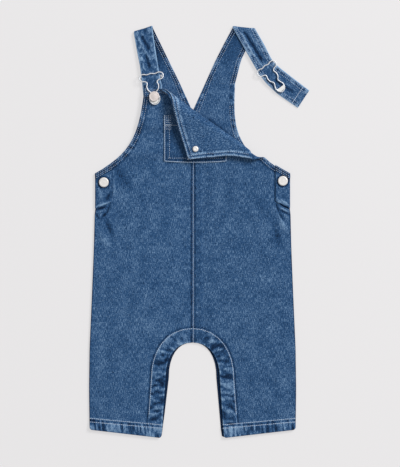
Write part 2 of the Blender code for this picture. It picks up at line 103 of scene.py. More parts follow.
cut = {
    "bibTop": 420.0, "crotch": 114.5, "sideTop": 318.0, "facingFoot": 345.0, "hemDeep": 14.0,
    "hemExtra": 1.0, "shoulderSeam": 425.0, "veeFoot": 392.0, "archPower": 2.25, "bibLean": 2.5,
    "backInset": 0.6, "neckX": 15.0, "shoulderX": 50.9, "facingDrop": 1.75,
}
frontLeg = {"hemX": 37.5, "hemY": 0.0, "archX": 32.5, "archY": 70.0}
backLegs = {
    "right": {"hemX": 36.9, "hemY": 1.0, "archX": 28.5, "archY": 72.0},
    "left": {"hemX": 34.8, "hemY": 1.0, "archX": 28.5, "archY": 72.0},
}
sideHeights = [10.0, 58.0, 108.0, 166.0, 230.0, 281.0, 318.0]
sideHalfWidths = [123.6, 124.3, 123.6, 121.0, 118.4, 117.2, 116.6]
tab = {"footY": 281.0, "topY": 317.8, "slope": 0.58, "stop": 279.0, "inset": 1.8, "share": 0.88}
tabFree = {"left": 99.2, "right": 97.0}
armholes = {
    "right": [(57.8, 419.5), (64.6, 352.4), (80.5, 340.4), (114.8, 318.6)],
    "left": [(60.4, 417.5), (66.8, 355.2), (79.4, 333.4), (114.8, 318.2)],
    "back": [(50.2, 400.0), (50.1, 365.0), (58.6, 335.0), (114.8, 318.0)],
}
roll = {
    "x": -36.6, "y": 418.4, "angle": math.radians(34.84), "radius": 10.2, "taper": 0.079, "least": 2.6,
    "fadeFrom": 138.0, "fadeTo": 156.0, "fadeDeep": 9.0, "flapRest": 9.6, "flapDrop": 60.0,
    "inward": 1.0, "tailInward": 1.0,
}


buttons = {
    "right": (-46.0, 409.7), "left": (49.3, 405.5), "side": {"right": (-106.4, 306.8),
        "left": (108.3, 308.5)},
    "head": [(0, 0), (2.2, 0), (2.2, 2.8), (5.9, 2.8), (6.2, 3.6), (5.9, 4.6), (5.3, 4.8), (4.8, 4.55),
             (2.6, 4.8), (0, 4.9)],
    "under": [(0, -3.6), (5.8, -3.6), (6.4, -2.8), (6.3, -1.6), (2.2, -1.6), (2.2, 0), (0, 0)],
    "tack": [(0, 0), (3.5, 0), (3.55, 0.5), (2.9, 1.1), (1.2, 1.3), (0.7, 1.0), (0, 1.0)],
    "cap": [(0, 0), (5.5, 0), (6.0, 0.8), (5.8, 1.8), (4.9, 2.5), (4.0, 2.3), (2.2, 2.3), (0, 2.4)],
}


def sideX(y):
    return np.interp(y, sideHeights, sideHalfWidths) - tab["inset"] * smooth(y, 269.0, tab["stop"])


def seamLean(y):
    return cut["bibLean"] * smooth(y, cut["sideTop"], cut["bibTop"])


def frontHeight(x, y):
    height = garment["ply"] + garment["gap"] + halfPly
    height = height + cut["facingDrop"] * smooth(y, cut["facingFoot"] - 14, cut["facingFoot"] - 2)
    height = height + cut["hemExtra"] * (1 - smooth(y, cut["hemDeep"], cut["hemDeep"] + 8))
    overTail = smooth(y, 364.0, 378.0) * (1 - smooth(x, -29.0, -16.0))
    return height + overTail * (2.3 + 0.9 * smooth(y, 402.0, 414.0))


def onFront(x, y, off):
    # a point of the front, moved out from the middle of its cloth and rolled over past the fold
    dx, dy = x - roll["x"], y - roll["y"]
    c, s = math.cos(roll["angle"]), math.sin(roll["angle"])
    along, across = dx * c - dy * s, dx * s + dy * c
    radius = np.maximum(roll["radius"] - roll["taper"] * along, roll["least"])
    past = across + radius - roll["fadeDeep"] * smooth(along, roll["fadeFrom"], roll["fadeTo"])
    past = past + roll["inward"] * smooth(along, 20.0, 50.0) + roll["tailInward"] * smooth(along, 108.0,
        130.0)
    flat = frontHeight(x, y)
    base = garment["ply"] + garment["gap"] + halfPly + cut["facingDrop"]
    turned = np.clip(past / radius, 0.0, math.pi)
    ease = smooth(past, 2.0, 24.0)
    reach = -radius + (radius - off) * np.sin(turned)
    rise = radius * (1 - np.cos(turned)) * smooth(turned, 0.5, 1.4)
    height = flat * (1 - ease) + base * ease + rise + off * np.cos(turned)
    beyond = np.maximum(past - math.pi * radius, 0.0)
    reach = reach - beyond
    height = height + (roll["flapRest"] - base - 2 * radius) * smooth(beyond, 0.0, roll["flapDrop"])
    reach = reach + across + radius - past
    slack = np.where(radius > roll["least"], 1.0, 0.8)
    slip = along - (math.pi - 2) * roll["taper"] * past * slack
    rolled = past > 0
    return np.stack([
        np.where(rolled, roll["x"] + slip * c + reach * s, x),
        np.where(rolled, roll["y"] - slip * s + reach * c, y),
        np.where(rolled, height, flat + off),
    ], -1)


def onBack(x, y, off):
    return np.stack([x, y, halfPly + off + 0 * x], -1)


def toRow(points):
    return (np.asarray(points, float) - [garment["middleX"], garment["middleY"], 0.0]) * millimetre


def legEdge(leg):
    # inner edge of a half: up the leg and round the crotch to the centre seam
    points = [(leg["hemX"], leg["hemY"]), (leg["hemX"] - 1.2, cut["hemDeep"])]
    for y in evenSteps(cut["hemDeep"], leg["archY"], 4):
        part = (y - leg["hemY"]) / (leg["archY"] - leg["hemY"])
        points.append((leg["hemX"] + (leg["archX"] - leg["hemX"]) * part, y))
    for angle in evenSteps(0.0, math.pi / 2, 8):
        x = leg["archX"] * max(0.0, math.cos(angle)) ** (2 / cut["archPower"])
        y = leg["archY"] + (cut["crotch"] - leg["archY"]) * math.sin(angle) ** (2 / cut["archPower"])
        points.append((max(x, garment["seam"]), y))
    return points


def sideEdge():
    heights = [10.0, 23.0] + evenSteps(23.0, 76.0, 4) + evenSteps(76.0, 152.0, 8)
    return [(float(sideX(y)), y) for y in heights + evenSteps(152.0, cut["sideTop"], 10)]


def densify(points, steps):
    # the same path with more points, each stretch split evenly
    points = np.array(points, float)
    place = np.linspace(0, len(points) - 1, (len(points) - 1) * steps + 1)
    ids = np.arange(len(points))
    return np.stack([np.interp(place, ids, points[:, k]) for k in (0, 1)], -1)


def evenRows(inner, outer, spacing):
    # matching rows of two edges, spaced by the longer one
    inner, outer = densify(inner, 12), densify(outer, 12)
    step = np.maximum(*(np.hypot(*np.diff(edge, axis=0).T) for edge in (inner, outer)))
    run = np.concatenate([[0], np.cumsum(np.maximum(step, 1e-6))])
    count = max(int(run[-1] / spacing), 2)
    at = rimSpacing(run[-1], count)
    pick = [np.stack([np.interp(at, run, edge[:, k]) for k in (0, 1)], -1) for edge in (inner, outer)]
    return pick


def rimSpacing(length, count):
    # places along a width, closer together at both edges so that the rim is round
    near = np.array([0.0, 0.12, 0.4, 0.9])
    middle = np.linspace(1.6, length - 1.6, max(count - 2, 2))
    return np.concatenate([near, middle, length - near[::-1]])


def closedShell(name, top, low, laid, marks, backMarks):
    # a closed wall from two matching grids of points, with its weave and its marks
    tall, wide = top.shape[:2]
    ids = np.arange(tall * wide).reshape(tall, wide)
    quads = np.stack([ids[:-1, :-1], ids[:-1, 1:], ids[1:, 1:], ids[1:, :-1]], -1).reshape(-1, 4)
    rim = np.concatenate([ids[0, :], ids[1:, -1], ids[-1, -2::-1], ids[-2:0:-1, 0]])
    after = np.roll(rim, -1)
    sides = np.stack([after, rim, rim + tall * wide, after + tall * wide], -1)
    mesh = bpy.data.meshes.new(name)
    points = toRow(np.concatenate([top.reshape(-1, 3), low.reshape(-1, 3)]))
    mesh.from_pydata(points.tolist(), [], np.concatenate([quads, quads[:, ::-1] + tall * wide,
                sides]).tolist())
    for label, value in zip(("wear", "shade"), marks):
        value = np.broadcast_to(value, (tall, wide)).reshape(-1)
        values = np.concatenate([value, value * backMarks]).astype(np.float32)
        mesh.attributes.new(label, "FLOAT", "POINT").data.foreach_set("value", values)
    weave = mesh.uv_layers.new(name="weave")
    corner = np.zeros(len(mesh.loops), np.int32)
    mesh.loops.foreach_get("vertex_index", corner)
    flatCut = laid.reshape(-1, 2) * millimetre
    both = np.concatenate([flatCut, flatCut + [0.7, 0.3]])
    weave.data.foreach_set("uv", both[corner].astype(np.float32).reshape(-1))
    return finishMesh(name, mesh)


def rimRound(far, reach, least):
    # how full the cloth is, so many millimetres from its edge
    return least + (1 - least) * np.sqrt(np.clip(1 - (1 - np.clip(far / reach, 0, 1)) ** 2, 0, 1))


def clothShell(name, inner, outer, place, relief, marks, openTop=False, backMarks=0.4, corners=(0, 0, 0)):
    # a closed wall of cloth between two edges of its flat cut, its outside shaped by relief
    rowsIn, rowsOut = evenRows(inner, outer, garment["grid"])
    width = np.hypot(*(rowsOut - rowsIn).T)
    share = rimSpacing(width.max(), int(width.max() / garment["grid"])) / width.max()
    x = rowsIn[:, None, 0] + (rowsOut - rowsIn)[:, None, 0] * share
    y = rowsIn[:, None, 1] + (rowsOut - rowsIn)[:, None, 1] * share
    steps = np.hypot(*np.diff((rowsIn + rowsOut) / 2, axis=0).T)
    run = np.concatenate([[0], np.cumsum(steps)])[:, None]
    toInner, toOuter, left = share[None, :] * width[:, None], (1 - share)[None, :] * width[:,
        None], run[-1] - run
    toSide = np.minimum(toInner, toOuter)
    # the corners are rounded: both at the foot, then the inner and outer one at the top
    foot, topInner, topOuter = corners
    for radius, far, end, way in ((foot, toSide, run, 1), (topInner, toInner, left, -1),
                            (topOuter, toOuter, left, -1)):
        short = np.clip(radius - far, 0, None)
        y = y + way * (radius - np.sqrt(radius**2 - short**2)) * (1 - smooth(end, 0, 3 * radius + 0.1))
    toEdge = np.minimum(toSide, run if openTop else np.minimum(run, left))
    full = rimRound(toEdge, 0.9, 0.25)
    lift = relief(x, y)
    top = place(x, y, (halfPly + lift) * full)
    low = place(x, y, -halfPly * full)
    return closedShell(name, top, low, np.stack([x, y], -1), marks(x, y, lift), backMarks)


def finishMesh(name, mesh):
    work = bmesh.new()
    work.from_mesh(mesh)
    bmesh.ops.recalc_face_normals(work, faces=work.faces)
    work.to_mesh(mesh)
    work.free()
    mesh.polygons.foreach_set("use_smooth", [True] * len(mesh.polygons))
    piece = bpy.data.objects.new(name, mesh)
    bpy.context.scene.collection.objects.link(piece)
    return piece


def flatSize(inner, outer):
    # width and length of the cut, in metres
    ring = np.array(list(map(tuple, inner)) + list(map(tuple, outer)))
    return tuple(float(v) * millimetre for v in ring.max(0) - ring.min(0))


def flatArea(inner, outer):
    # area of the cut between two edges, in square metres
    ring = list(map(tuple, inner)) + list(map(tuple, outer))[::-1]
    twice = sum(a[0] * b[1] - b[0] * a[1] for a, b in zip(ring, ring[1:] + ring[:1]))
    return abs(twice) / 2 * millimetre**2


# ---- materials ----


class Wire:
    # a shader value that adds Math nodes as it is used in sums

    def __init__(self, tree, socket):
        self.tree, self.socket = tree, socket

    def math(self, operation, a, b=None, c=None):
        node = self.tree.nodes.new("ShaderNodeMath")
        node.operation = operation
        for put, value in zip(node.inputs, (a, b, c)):
            if value is not None:
                plug(self.tree, put, value)
        return Wire(self.tree, node.outputs[0])

    def __add__(self, other):
        return self.math("ADD", self, other)

    def __radd__(self, other):
        return self.math("ADD", other, self)

    def __sub__(self, other):
        return self.math("SUBTRACT", self, other)

    def __rsub__(self, other):
        return self.math("SUBTRACT", other, self)

    def __mul__(self, other):
        return self.math("MULTIPLY", self, other)

    def __rmul__(self, other):
        return self.math("MULTIPLY", other, self)

    def clamp(self):
        return self.math("MINIMUM", self.math("MAXIMUM", self, 0.0), 1.0)


def plug(tree, put, value):
    if isinstance(value, Wire):
        tree.links.new(value.socket, put)
    else:
        put.default_value = value


class Finish:
    # one material and the nodes it is made of

    def __init__(self, name):
        self.material = bpy.data.materials.new(name)
        self.material.use_nodes = True
        self.tree = self.material.node_tree
        self.shader = self.tree.nodes["Principled BSDF"]

    def node(self, kind, settings=None, sockets=None, out=0):
        made = self.tree.nodes.new(kind)
        for key, value in (settings or {}).items():
            if key == "stops":
                ramp = made.color_ramp
                while len(ramp.elements) < len(value):
                    ramp.elements.new(0.5)
                for element, (at, colour) in zip(ramp.elements, value):
                    element.position, element.color = at, colour
            else:
                setattr(made, key, value)
        for key, value in (sockets or {}).items():
            plug(self.tree, made.inputs[key], value)
        return Wire(self.tree, made.outputs[out])

    def noise(self, where, size, detail=2.0, rough=0.5):
        # size is the pattern's width and length in millimetres
        scaled = self.node("ShaderNodeMapping", {},
                           {"Vector": where, "Scale": (1000 / size[0], 1000 / size[1], 300)})
        return self.node("ShaderNodeTexNoise", {},
                         {"Vector": scaled, "Scale": 1.0, "Detail": detail, "Roughness": rough})

    def attribute(self, name):
        return self.node("ShaderNodeAttribute", {"attribute_name": name}, out=2)

    def mix(self, share, a, b):
        made = self.tree.nodes.new("ShaderNodeMix")
        made.data_type = "RGBA"
        for index, value in ((0, share), (6, a), (7, b)):
            plug(self.tree, made.inputs[index], value)
        return Wire(self.tree, made.outputs[2])

    def set(self, **values):
        for key, value in values.items():
            plug(self.tree, self.shader.inputs[key.replace("_", " ")], value)
        return self


denimLook = {
    "deep": (0.0055, 0.017, 0.048, 1), "blue": (0.0275, 0.086, 0.206, 1), "worn": (0.235, 0.38, 0.57, 1),
    "slub": (0.75, 4.8), "speck": (0.9, 1.5), "mottle": (13.0, 20.0), "rough": 0.95,
}


def denimFinish(name, tint=1.0, slubDepth=1.0, slubSize=denimLook["slub"]):
    finish = Finish(name)
    flat = finish.node("ShaderNodeUVMap", {"uv_map": "weave"})
    slub = finish.noise(flat, slubSize, 1.0)
    speck = finish.noise(flat, denimLook["speck"], 1.0)
    mottle = finish.noise(flat, denimLook["mottle"], 3.0, 0.6)
    wear, shade = finish.attribute("wear"), finish.attribute("shade")
    value = 0.5 + (slub - 0.5) * (1.0 * slubDepth) + (speck - 0.5) * 1.0 + (mottle - 0.5) * 0.45
    # wear lightens the cloth and shade darkens it: both carry painted light as well as wear and darker
    # cloth
    value = (value + wear * 0.40 - shade * 0.46).clamp()
    blue = tuple(c * tint for c in denimLook["blue"][:3]) + (1,)
    colour = finish.node(
        "ShaderNodeValToRGB",
        {"stops": [(0.0, denimLook["deep"]), (0.5, blue), (1.0, denimLook["worn"])]},
        {"Fac": value},
    )
    twill = finish.node("ShaderNodeMapping", {},
                        {"Vector": flat, "Rotation": (0, 0, math.radians(28)), "Scale": (1, 1, 1)})
    rib = finish.node("ShaderNodeTexWave", {"bands_direction": "X"},
                      {"Vector": twill, "Scale": 1000 / 0.95 / 2 / math.pi})
    height = slub * 0.5 + speck * 0.35 + rib * 0.25
    normal = finish.node("ShaderNodeBump", {}, {"Height": height, "Strength": 0.45, "Distance": 0.00035})
    finish.set(Base_Color=colour, Roughness=denimLook["rough"], Normal=normal, Specular_IOR_Level=0.04,
               Sheen_Weight=0.03, Sheen_Roughness=0.6)
    return finish.material


def threadFinish():
    finish = Finish("paleTopstitch")
    where = finish.node("ShaderNodeTexCoord", out=3)
    tone = finish.noise(where, (6.0, 6.0), 1.0)
    finish.set(Base_Color=finish.mix(tone, (0.36, 0.48, 0.64, 1), (0.64, 0.74, 0.87, 1)), Roughness=0.9,
               Specular_IOR_Level=0.1)
    return finish.material


def metalFinish(name, colour, rough, brushed, metal=0.7):
    finish = Finish(name)
    where = finish.node("ShaderNodeTexCoord", out=3)
    grain = finish.noise(where, (0.7, 0.7), 2.0)
    tarnish = finish.noise(where, (3.2, 3.2), 2.0)
    dull = tuple(c * 0.78 for c in colour[:3]) + (1,)
    finish.set(
        Base_Color=finish.mix(tarnish, dull, colour), Metallic=metal, Roughness=rough + grain * 0.18,
        Normal=finish.node("ShaderNodeBump", {},
                           {"Height": grain, "Strength": brushed, "Distance": 0.0002}),
    )
    return finish.material


denim = denimFinish("washedDenim")
denimLight = denimFinish("washedDenimLighter", 1.05)
denimFlap = denimFinish("washedDenimFacing", 1.04, 1.25, (0.8, 2.6))
thread = threadFinish()
nickel = metalFinish("nickelWire", (0.90, 0.93, 0.97, 1), 0.42, 0.1, 0.5)
stamped = metalFinish("stampedNickel", (0.97, 0.97, 0.95, 1), 0.5, 0.15, 0.2)
pinkNickel = metalFinish("pinkishNickel", (0.93, 0.85, 0.82, 1), 0.42, 0.6, 0.55)
capMetal = metalFinish("paleButtonCap", (1.0, 0.97, 0.94, 1), 0.35, 0.1, 0.25)
print("finishes made")

# ---- the fronts ----

# soft creases, listed one by one: ends, half width, height (below 0 is a trough)
frontCreases = {
    "right": [
        {"from": (-115.6, 277.4), "to": (-101.2, 282.0), "reach": 2.2, "high": 0.65},
        {"from": (-116.0, 273.8), "to": (-103.6, 277.6), "reach": 2.0, "high": -1.1},
        {"from": (-113.5, 271.2), "to": (-106.0, 273.4), "reach": 1.4, "high": 0.6},
        {"from": (-98.4, 281.6), "to": (-102.6, 271.0), "reach": 1.7, "high": -0.8},
        {"from": (-102.6, 271.6), "to": (-110.0, 263.6), "reach": 2.0, "high": -1.0},
        {"from": (-116.0, 269.4), "to": (-111.6, 261.8), "reach": 1.8, "high": -0.8},
        {"from": (-108.0, 270.0), "to": (-113.0, 264.2), "reach": 1.5, "high": 0.6},
        {"from": (-98.6, 294.0), "to": (-104.4, 284.4), "reach": 4.2, "high": -1.0},
        {"from": (-113.0, 300.4), "to": (-110.6, 290.0), "reach": 1.8, "high": 0.6},
        {"from": (-94.4, 312.0), "to": (-93.6, 292.0), "reach": 2.6, "high": 0.35},
        {"from": (-108.0, 297.0), "to": (-111.0, 286.0), "reach": 2.0, "high": 0.4},
        {"from": (-104, 262), "to": (-96, 243), "reach": 5.0, "high": -0.5},
        {"from": (-112, 250), "to": (-100, 228), "reach": 7.0, "high": 0.4},
        {"from": (-70, 150), "to": (-40, 128), "reach": 11.0, "high": 0.2},
        {"from": (-96, 330), "to": (-74, 300), "reach": 9.0, "high": -0.3},
    ],
    "left": [
        {"from": (100.4, 288.5), "to": (105.0, 282.4), "reach": 1.6, "high": 0.8},
        {"from": (105.6, 285.9), "to": (115.6, 279.6), "reach": 1.9, "high": 1.0},
        {"from": (104.6, 281.4), "to": (116.0, 275.4), "reach": 1.9, "high": -1.1},
        {"from": (103.9, 276.8), "to": (115.4, 270.6), "reach": 1.8, "high": 0.9},
        {"from": (104.6, 273.9), "to": (116.4, 267.8), "reach": 1.7, "high": -1.0},
        {"from": (109.4, 269.4), "to": (114.2, 264.0), "reach": 1.7, "high": 0.7},
        {"from": (100.4, 281.0), "to": (103.0, 271.4), "reach": 1.7, "high": -0.9},
        {"from": (103.0, 271.0), "to": (108.6, 261.2), "reach": 1.7, "high": -1.0},
        {"from": (100.9, 273.0), "to": (109.2, 257.4), "reach": 2.0, "high": 0.6},
        {"from": (106.0, 290.6), "to": (113.0, 288.4), "reach": 2.6, "high": -0.6},
        {"from": (104, 262), "to": (114, 248), "reach": 5.0, "high": 0.5},
        {"from": (98, 258), "to": (104, 232), "reach": 6.0, "high": -0.4},
        {"from": (42, 130), "to": (72, 152), "reach": 10.0, "high": 0.15},
        {"from": (60, 300), "to": (96, 262), "reach": 12.0, "high": -0.12},
    ],
}
hemRows = {"low": 11.2, "high": 15.4, "rise": 0.095}
inseam = {"wide": 17.2, "thick": 0.55, "crumple": 0.5}
felled = {"from": 3.0, "to": 10.2, "thick": 0.35}
edging = {"wide": 6.4, "thick": 0.5}


def creaseHeight(x, y, creases):
    height = np.zeros(np.broadcast(x, y).shape)
    for crease in creases:
        far, along = distanceToPath(x, y, [crease["from"], crease["to"]])
        length = math.dist(crease["from"], crease["to"])
        fade = 0.35 + 0.65 * np.sin(np.pi * np.clip(along / length, 0, 1))
        height += crease["high"] * fade * (1 - smooth(far, 0.0, crease["reach"]))
    return height


def tabEdgeShadow(x, y):
    # painted shadow along the free edge of the side tab
    free = np.where(x > 0, tabFree["left"], tabFree["right"])
    return 0.3 * bump(np.abs(x), free - 0.5, 1.8) * smooth(y, 278.0, 284.0) * (1 - smooth(y, 326.0, 330.0))


def halfRelief(side, leg, creases, topPath):
    # the raised seams, hems and creases of one half, and their marks in the colour: wear, with painted
    # highlight and painted shade on the raised and hollow parts
    sign, seed = (1, 11) if side == "left" else (-1, 37)
    inner = [(sign * x, y) for x, y in legEdge(leg)]

    def parts(x, y):
        legFar, legRun = distanceToPath(x, y, inner)
        edgeFar, edgeRun = distanceToPath(x, y, topPath)
        seamX = x - seamLean(y)
        above = smooth(y, 108.0, 116.0)
        clear = smooth(np.abs(x), 9.0, 13.0)
        hemLine = hemRows["high"] - 1.5 + hemRows["rise"] * (np.abs(x) - 36)
        hemOn = 1 - smooth(y - hemLine, -1.0, 1.5)
        bandOn = (1 - smooth(legFar, inseam["wide"] - 1.2, inseam["wide"] + 0.4)) * (1 - hemOn) * (0.35
            + 0.65 * clear)
        edgeOn = 1 - smooth(edgeFar, edging["wide"] - 1.0, edging["wide"] + 0.4)
        fellOn = smooth(seamX, felled["from"] - 1.4, felled["from"]) * (1
            - smooth(seamX, felled["to"], felled["to"] + 1.2)) * above
        return legFar, legRun, edgeFar, edgeRun, seamX, above, hemOn, bandOn, edgeOn, fellOn

    def relief(x, y):
        legFar, legRun, edgeFar, edgeRun, seamX, above, hemOn, bandOn, edgeOn, fellOn = parts(x, y)
        lift = cut["hemExtra"] * (1 - smooth(y, cut["hemDeep"] - 2, cut["hemDeep"] + 2))
        lift = lift + hemOn * 0.3 * latticeNoise(x / 1.8 + y / 16, y / 12, seed + 2)
        lift = lift + bandOn * (inseam["thick"]
                                + inseam["crumple"] * latticeNoise(legRun / 3.1 + legFar / 12,
                                    legFar / 9.0, seed))
        lift = lift + bandOn * 0.25 * latticeNoise(legRun / 1.9, legFar / 4.0 + legRun / 9, seed + 1)
        lift = lift + edgeOn * (edging["thick"] + 0.22 * latticeNoise(edgeRun / 3.4, edgeFar / 5.0, 17))
        lift = lift + fellOn * felled["thick"] + 0.25 * bump(seamX, 9.0, 1.6) * above
        lift = lift - 0.3 * bump(seamX, 1.9, 1.2) * above - 0.2 * bump(legFar, inseam["wide"] + 1.0,
            1.6) * (1 - hemOn)
        return lift + creaseHeight(x, y, creases) * (1 - edgeOn)

    def marks(x, y, lift):
        legFar, legRun, edgeFar, edgeRun, seamX, above, hemOn, bandOn, edgeOn, fellOn = parts(x, y)
        crease = creaseHeight(x, y, creases)
        rough = latticeNoise(x / 2.4, y / 3.0, 23)
        hemRope = latticeNoise(x / 1.8 + y / 16, y / 12, seed + 2)
        bandRope = (latticeNoise(legRun / 3.1 + legFar / 12, legFar / 9.0, seed)
                    + 0.6 * latticeNoise(legRun / 1.9, legFar / 4.0 + legRun / 9, seed + 1))
        edgeRope = latticeNoise(edgeRun / 3.4, edgeFar / 5.0, 17)
        hemLine = y - hemRows["rise"] * (np.abs(x) - 36)
        # the ropes of the edges, hems and inseam band are paler where raised and darker in their hollows:
        # wear, with painted highlight and painted shade
        wear = 0.8 * bump(edgeFar, 0.2, 1.3) + edgeOn * np.clip(edgeRope, 0, 1) * 0.9
        wear = wear + hemOn * (0.1 + 0.45 * (1 - smooth(np.abs(x), 51.0, 55.0))
                               + 1.2 * np.clip(hemRope, 0, 1)) + 0.8 * bump(legFar, 0.8, 1.6) * (1 - hemOn)
        wear = wear + 0.6 * bump(hemLine, hemRows["high"], 1.2) + 0.5 * bump(hemLine, hemRows["low"], 1.2)
        wear = wear + bandOn * 1.0 * np.clip(bandRope, 0, 1) + 0.8 * bump(legFar, inseam["wide"] - 0.4,
            1.1) * (1 - hemOn)
        # crease ridges are paler and troughs darker: painted highlight and painted shade
        wear = wear + np.clip(crease, 0, 1) * 1.3
        wear = wear + fellOn * 0.45 * np.clip(latticeNoise(seamX / 6, y / 2.3, seed + 5), 0, 1)
        shade = np.clip(-crease, 0, 1) * 1.7 + bandOn * (0.12 + 1.1 * np.clip(-bandRope, 0, 1))
        shade = shade + hemOn * np.clip(-hemRope, 0, 1) * 1.3 + edgeOn * (0.34
            + np.clip(-edgeRope, 0, 1) * 0.9)
        shade = shade + 0.9 * bump(hemLine, (hemRows["high"] + hemRows["low"]) / 2, 1.2)
        shade = shade + 0.5 * bump(edgeFar, edging["wide"] + 0.6, 1.5)
        # painted shade in the grooves beside the centre seam and the inseam band, and painted shadow along
        # the side seam below the tab; the felled band is a little darker
        shade = shade + above * (1.2 * bump(seamX, -1.3, 1.0) + 1.3 * bump(seamX, 2.4, 1.0)) + 0.2 * fellOn
        shade = shade + 1.0 * bump(legFar, inseam["wide"] + 1.3, 1.4) * (1 - hemOn)
        shade = shade + 0.9 * bump(np.abs(x), np.abs(sideX(y)), 1.5) * (1 - smooth(y, 269.0, 279.0))
        shade = shade + tabEdgeShadow(x, y)
        wear = wear + 0.4 * bump(np.abs(x), 94.9, 1.2) * smooth(y, 286.0, 300.0) * (1 - edgeOn)
        return wear * (0.85 + 0.3 * rough), shade

    return relief, marks


def frontEdges(side):
    sign = 1 if side == "left" else -1
    inner = legEdge(frontLeg)
    for y in evenSteps(cut["crotch"], cut["sideTop"], 10) + evenSteps(cut["sideTop"], cut["bibTop"], 12):
        inner.append((garment["seam"], y))
    outer = sideEdge() + [tuple(p) for p in cubic(armholes[side], 1 - np.array(evenSteps(0.0, 1.0, 12)))]
    inner = [(sign * x + float(seamLean(y)), y) for x, y in inner]
    return inner, [(sign * x, y) for x, y in outer]


def armholePath(side, sign):
    return [(sign * x, y) for x, y in cubic(armholes[side], np.linspace(0, 1, 25))]


clothPieces = {}
reliefs = {}
for side, sign in (("right", -1), ("left", 1)):
    inner, outer = frontEdges(side)
    topPath = [inner[-1]] + armholePath(side, sign)
    relief, marks = halfRelief(side, frontLeg, frontCreases[side], topPath)
    piece = clothShell("front" + side.capitalize(), inner, outer, onFront, relief, marks,
                       corners=(3.2, 0, 5.6 if side == "left" else 3.4))
    piece.data.materials.append(denimLight if side == "right" else denim)
    clothPieces["front_" + side] = (piece, flatArea(inner, outer), flatSize(inner, outer))
    reliefs["front_" + side] = relief
print("fronts made")

# ---- the backs ----

# pressed flat underneath, so these show only as painted highlight and painted shade
backCreases = {
    "right": [
        {"from": (-90, 240), "to": (-60, 180), "reach": 12.0, "high": 0.3},
        {"from": (-40, 340), "to": (-20, 300), "reach": 9.0, "high": -0.3},
        {"from": (-100, 110), "to": (-66, 96), "reach": 8.0, "high": 0.35},
    ],
    "left": [
        {"from": (88, 232), "to": (52, 190), "reach": 11.0, "high": 0.3},
        {"from": (34, 346), "to": (18, 306), "reach": 8.0, "high": -0.3},
        {"from": (62, 98), "to": (102, 84), "reach": 9.0, "high": 0.3},
    ],
}


def backEdges(side):
    sign = 1 if side == "left" else -1
    inner = legEdge(backLegs[side])
    for y in evenSteps(cut["crotch"], cut["sideTop"], 10) + evenSteps(cut["sideTop"], cut["veeFoot"], 8):
        inner.append((garment["seam"], y))
    outer = sideEdge() + [tuple(p) for p in cubic(armholes["back"], 1 - np.array(evenSteps(0.0, 1.0, 8)))]
    corner, vee = np.array(armholes["back"][0]), np.array([garment["seam"], cut["veeFoot"]])
    for t in evenSteps(0.0, 1.0, 3):
        inner.append(tuple(vee + (np.array([cut["neckX"], cut["shoulderSeam"]]) - vee) * t))
        outer.append(tuple(corner + (np.array([cut["shoulderX"], cut["shoulderSeam"]]) - corner) * t))
    outer = [(x - cut["backInset"] * (1 - float(smooth(y, 300.0, cut["sideTop"]))), y) for x, y in outer]
    return [(sign * x, y) for x, y in inner], [(sign * x, y) for x, y in outer]


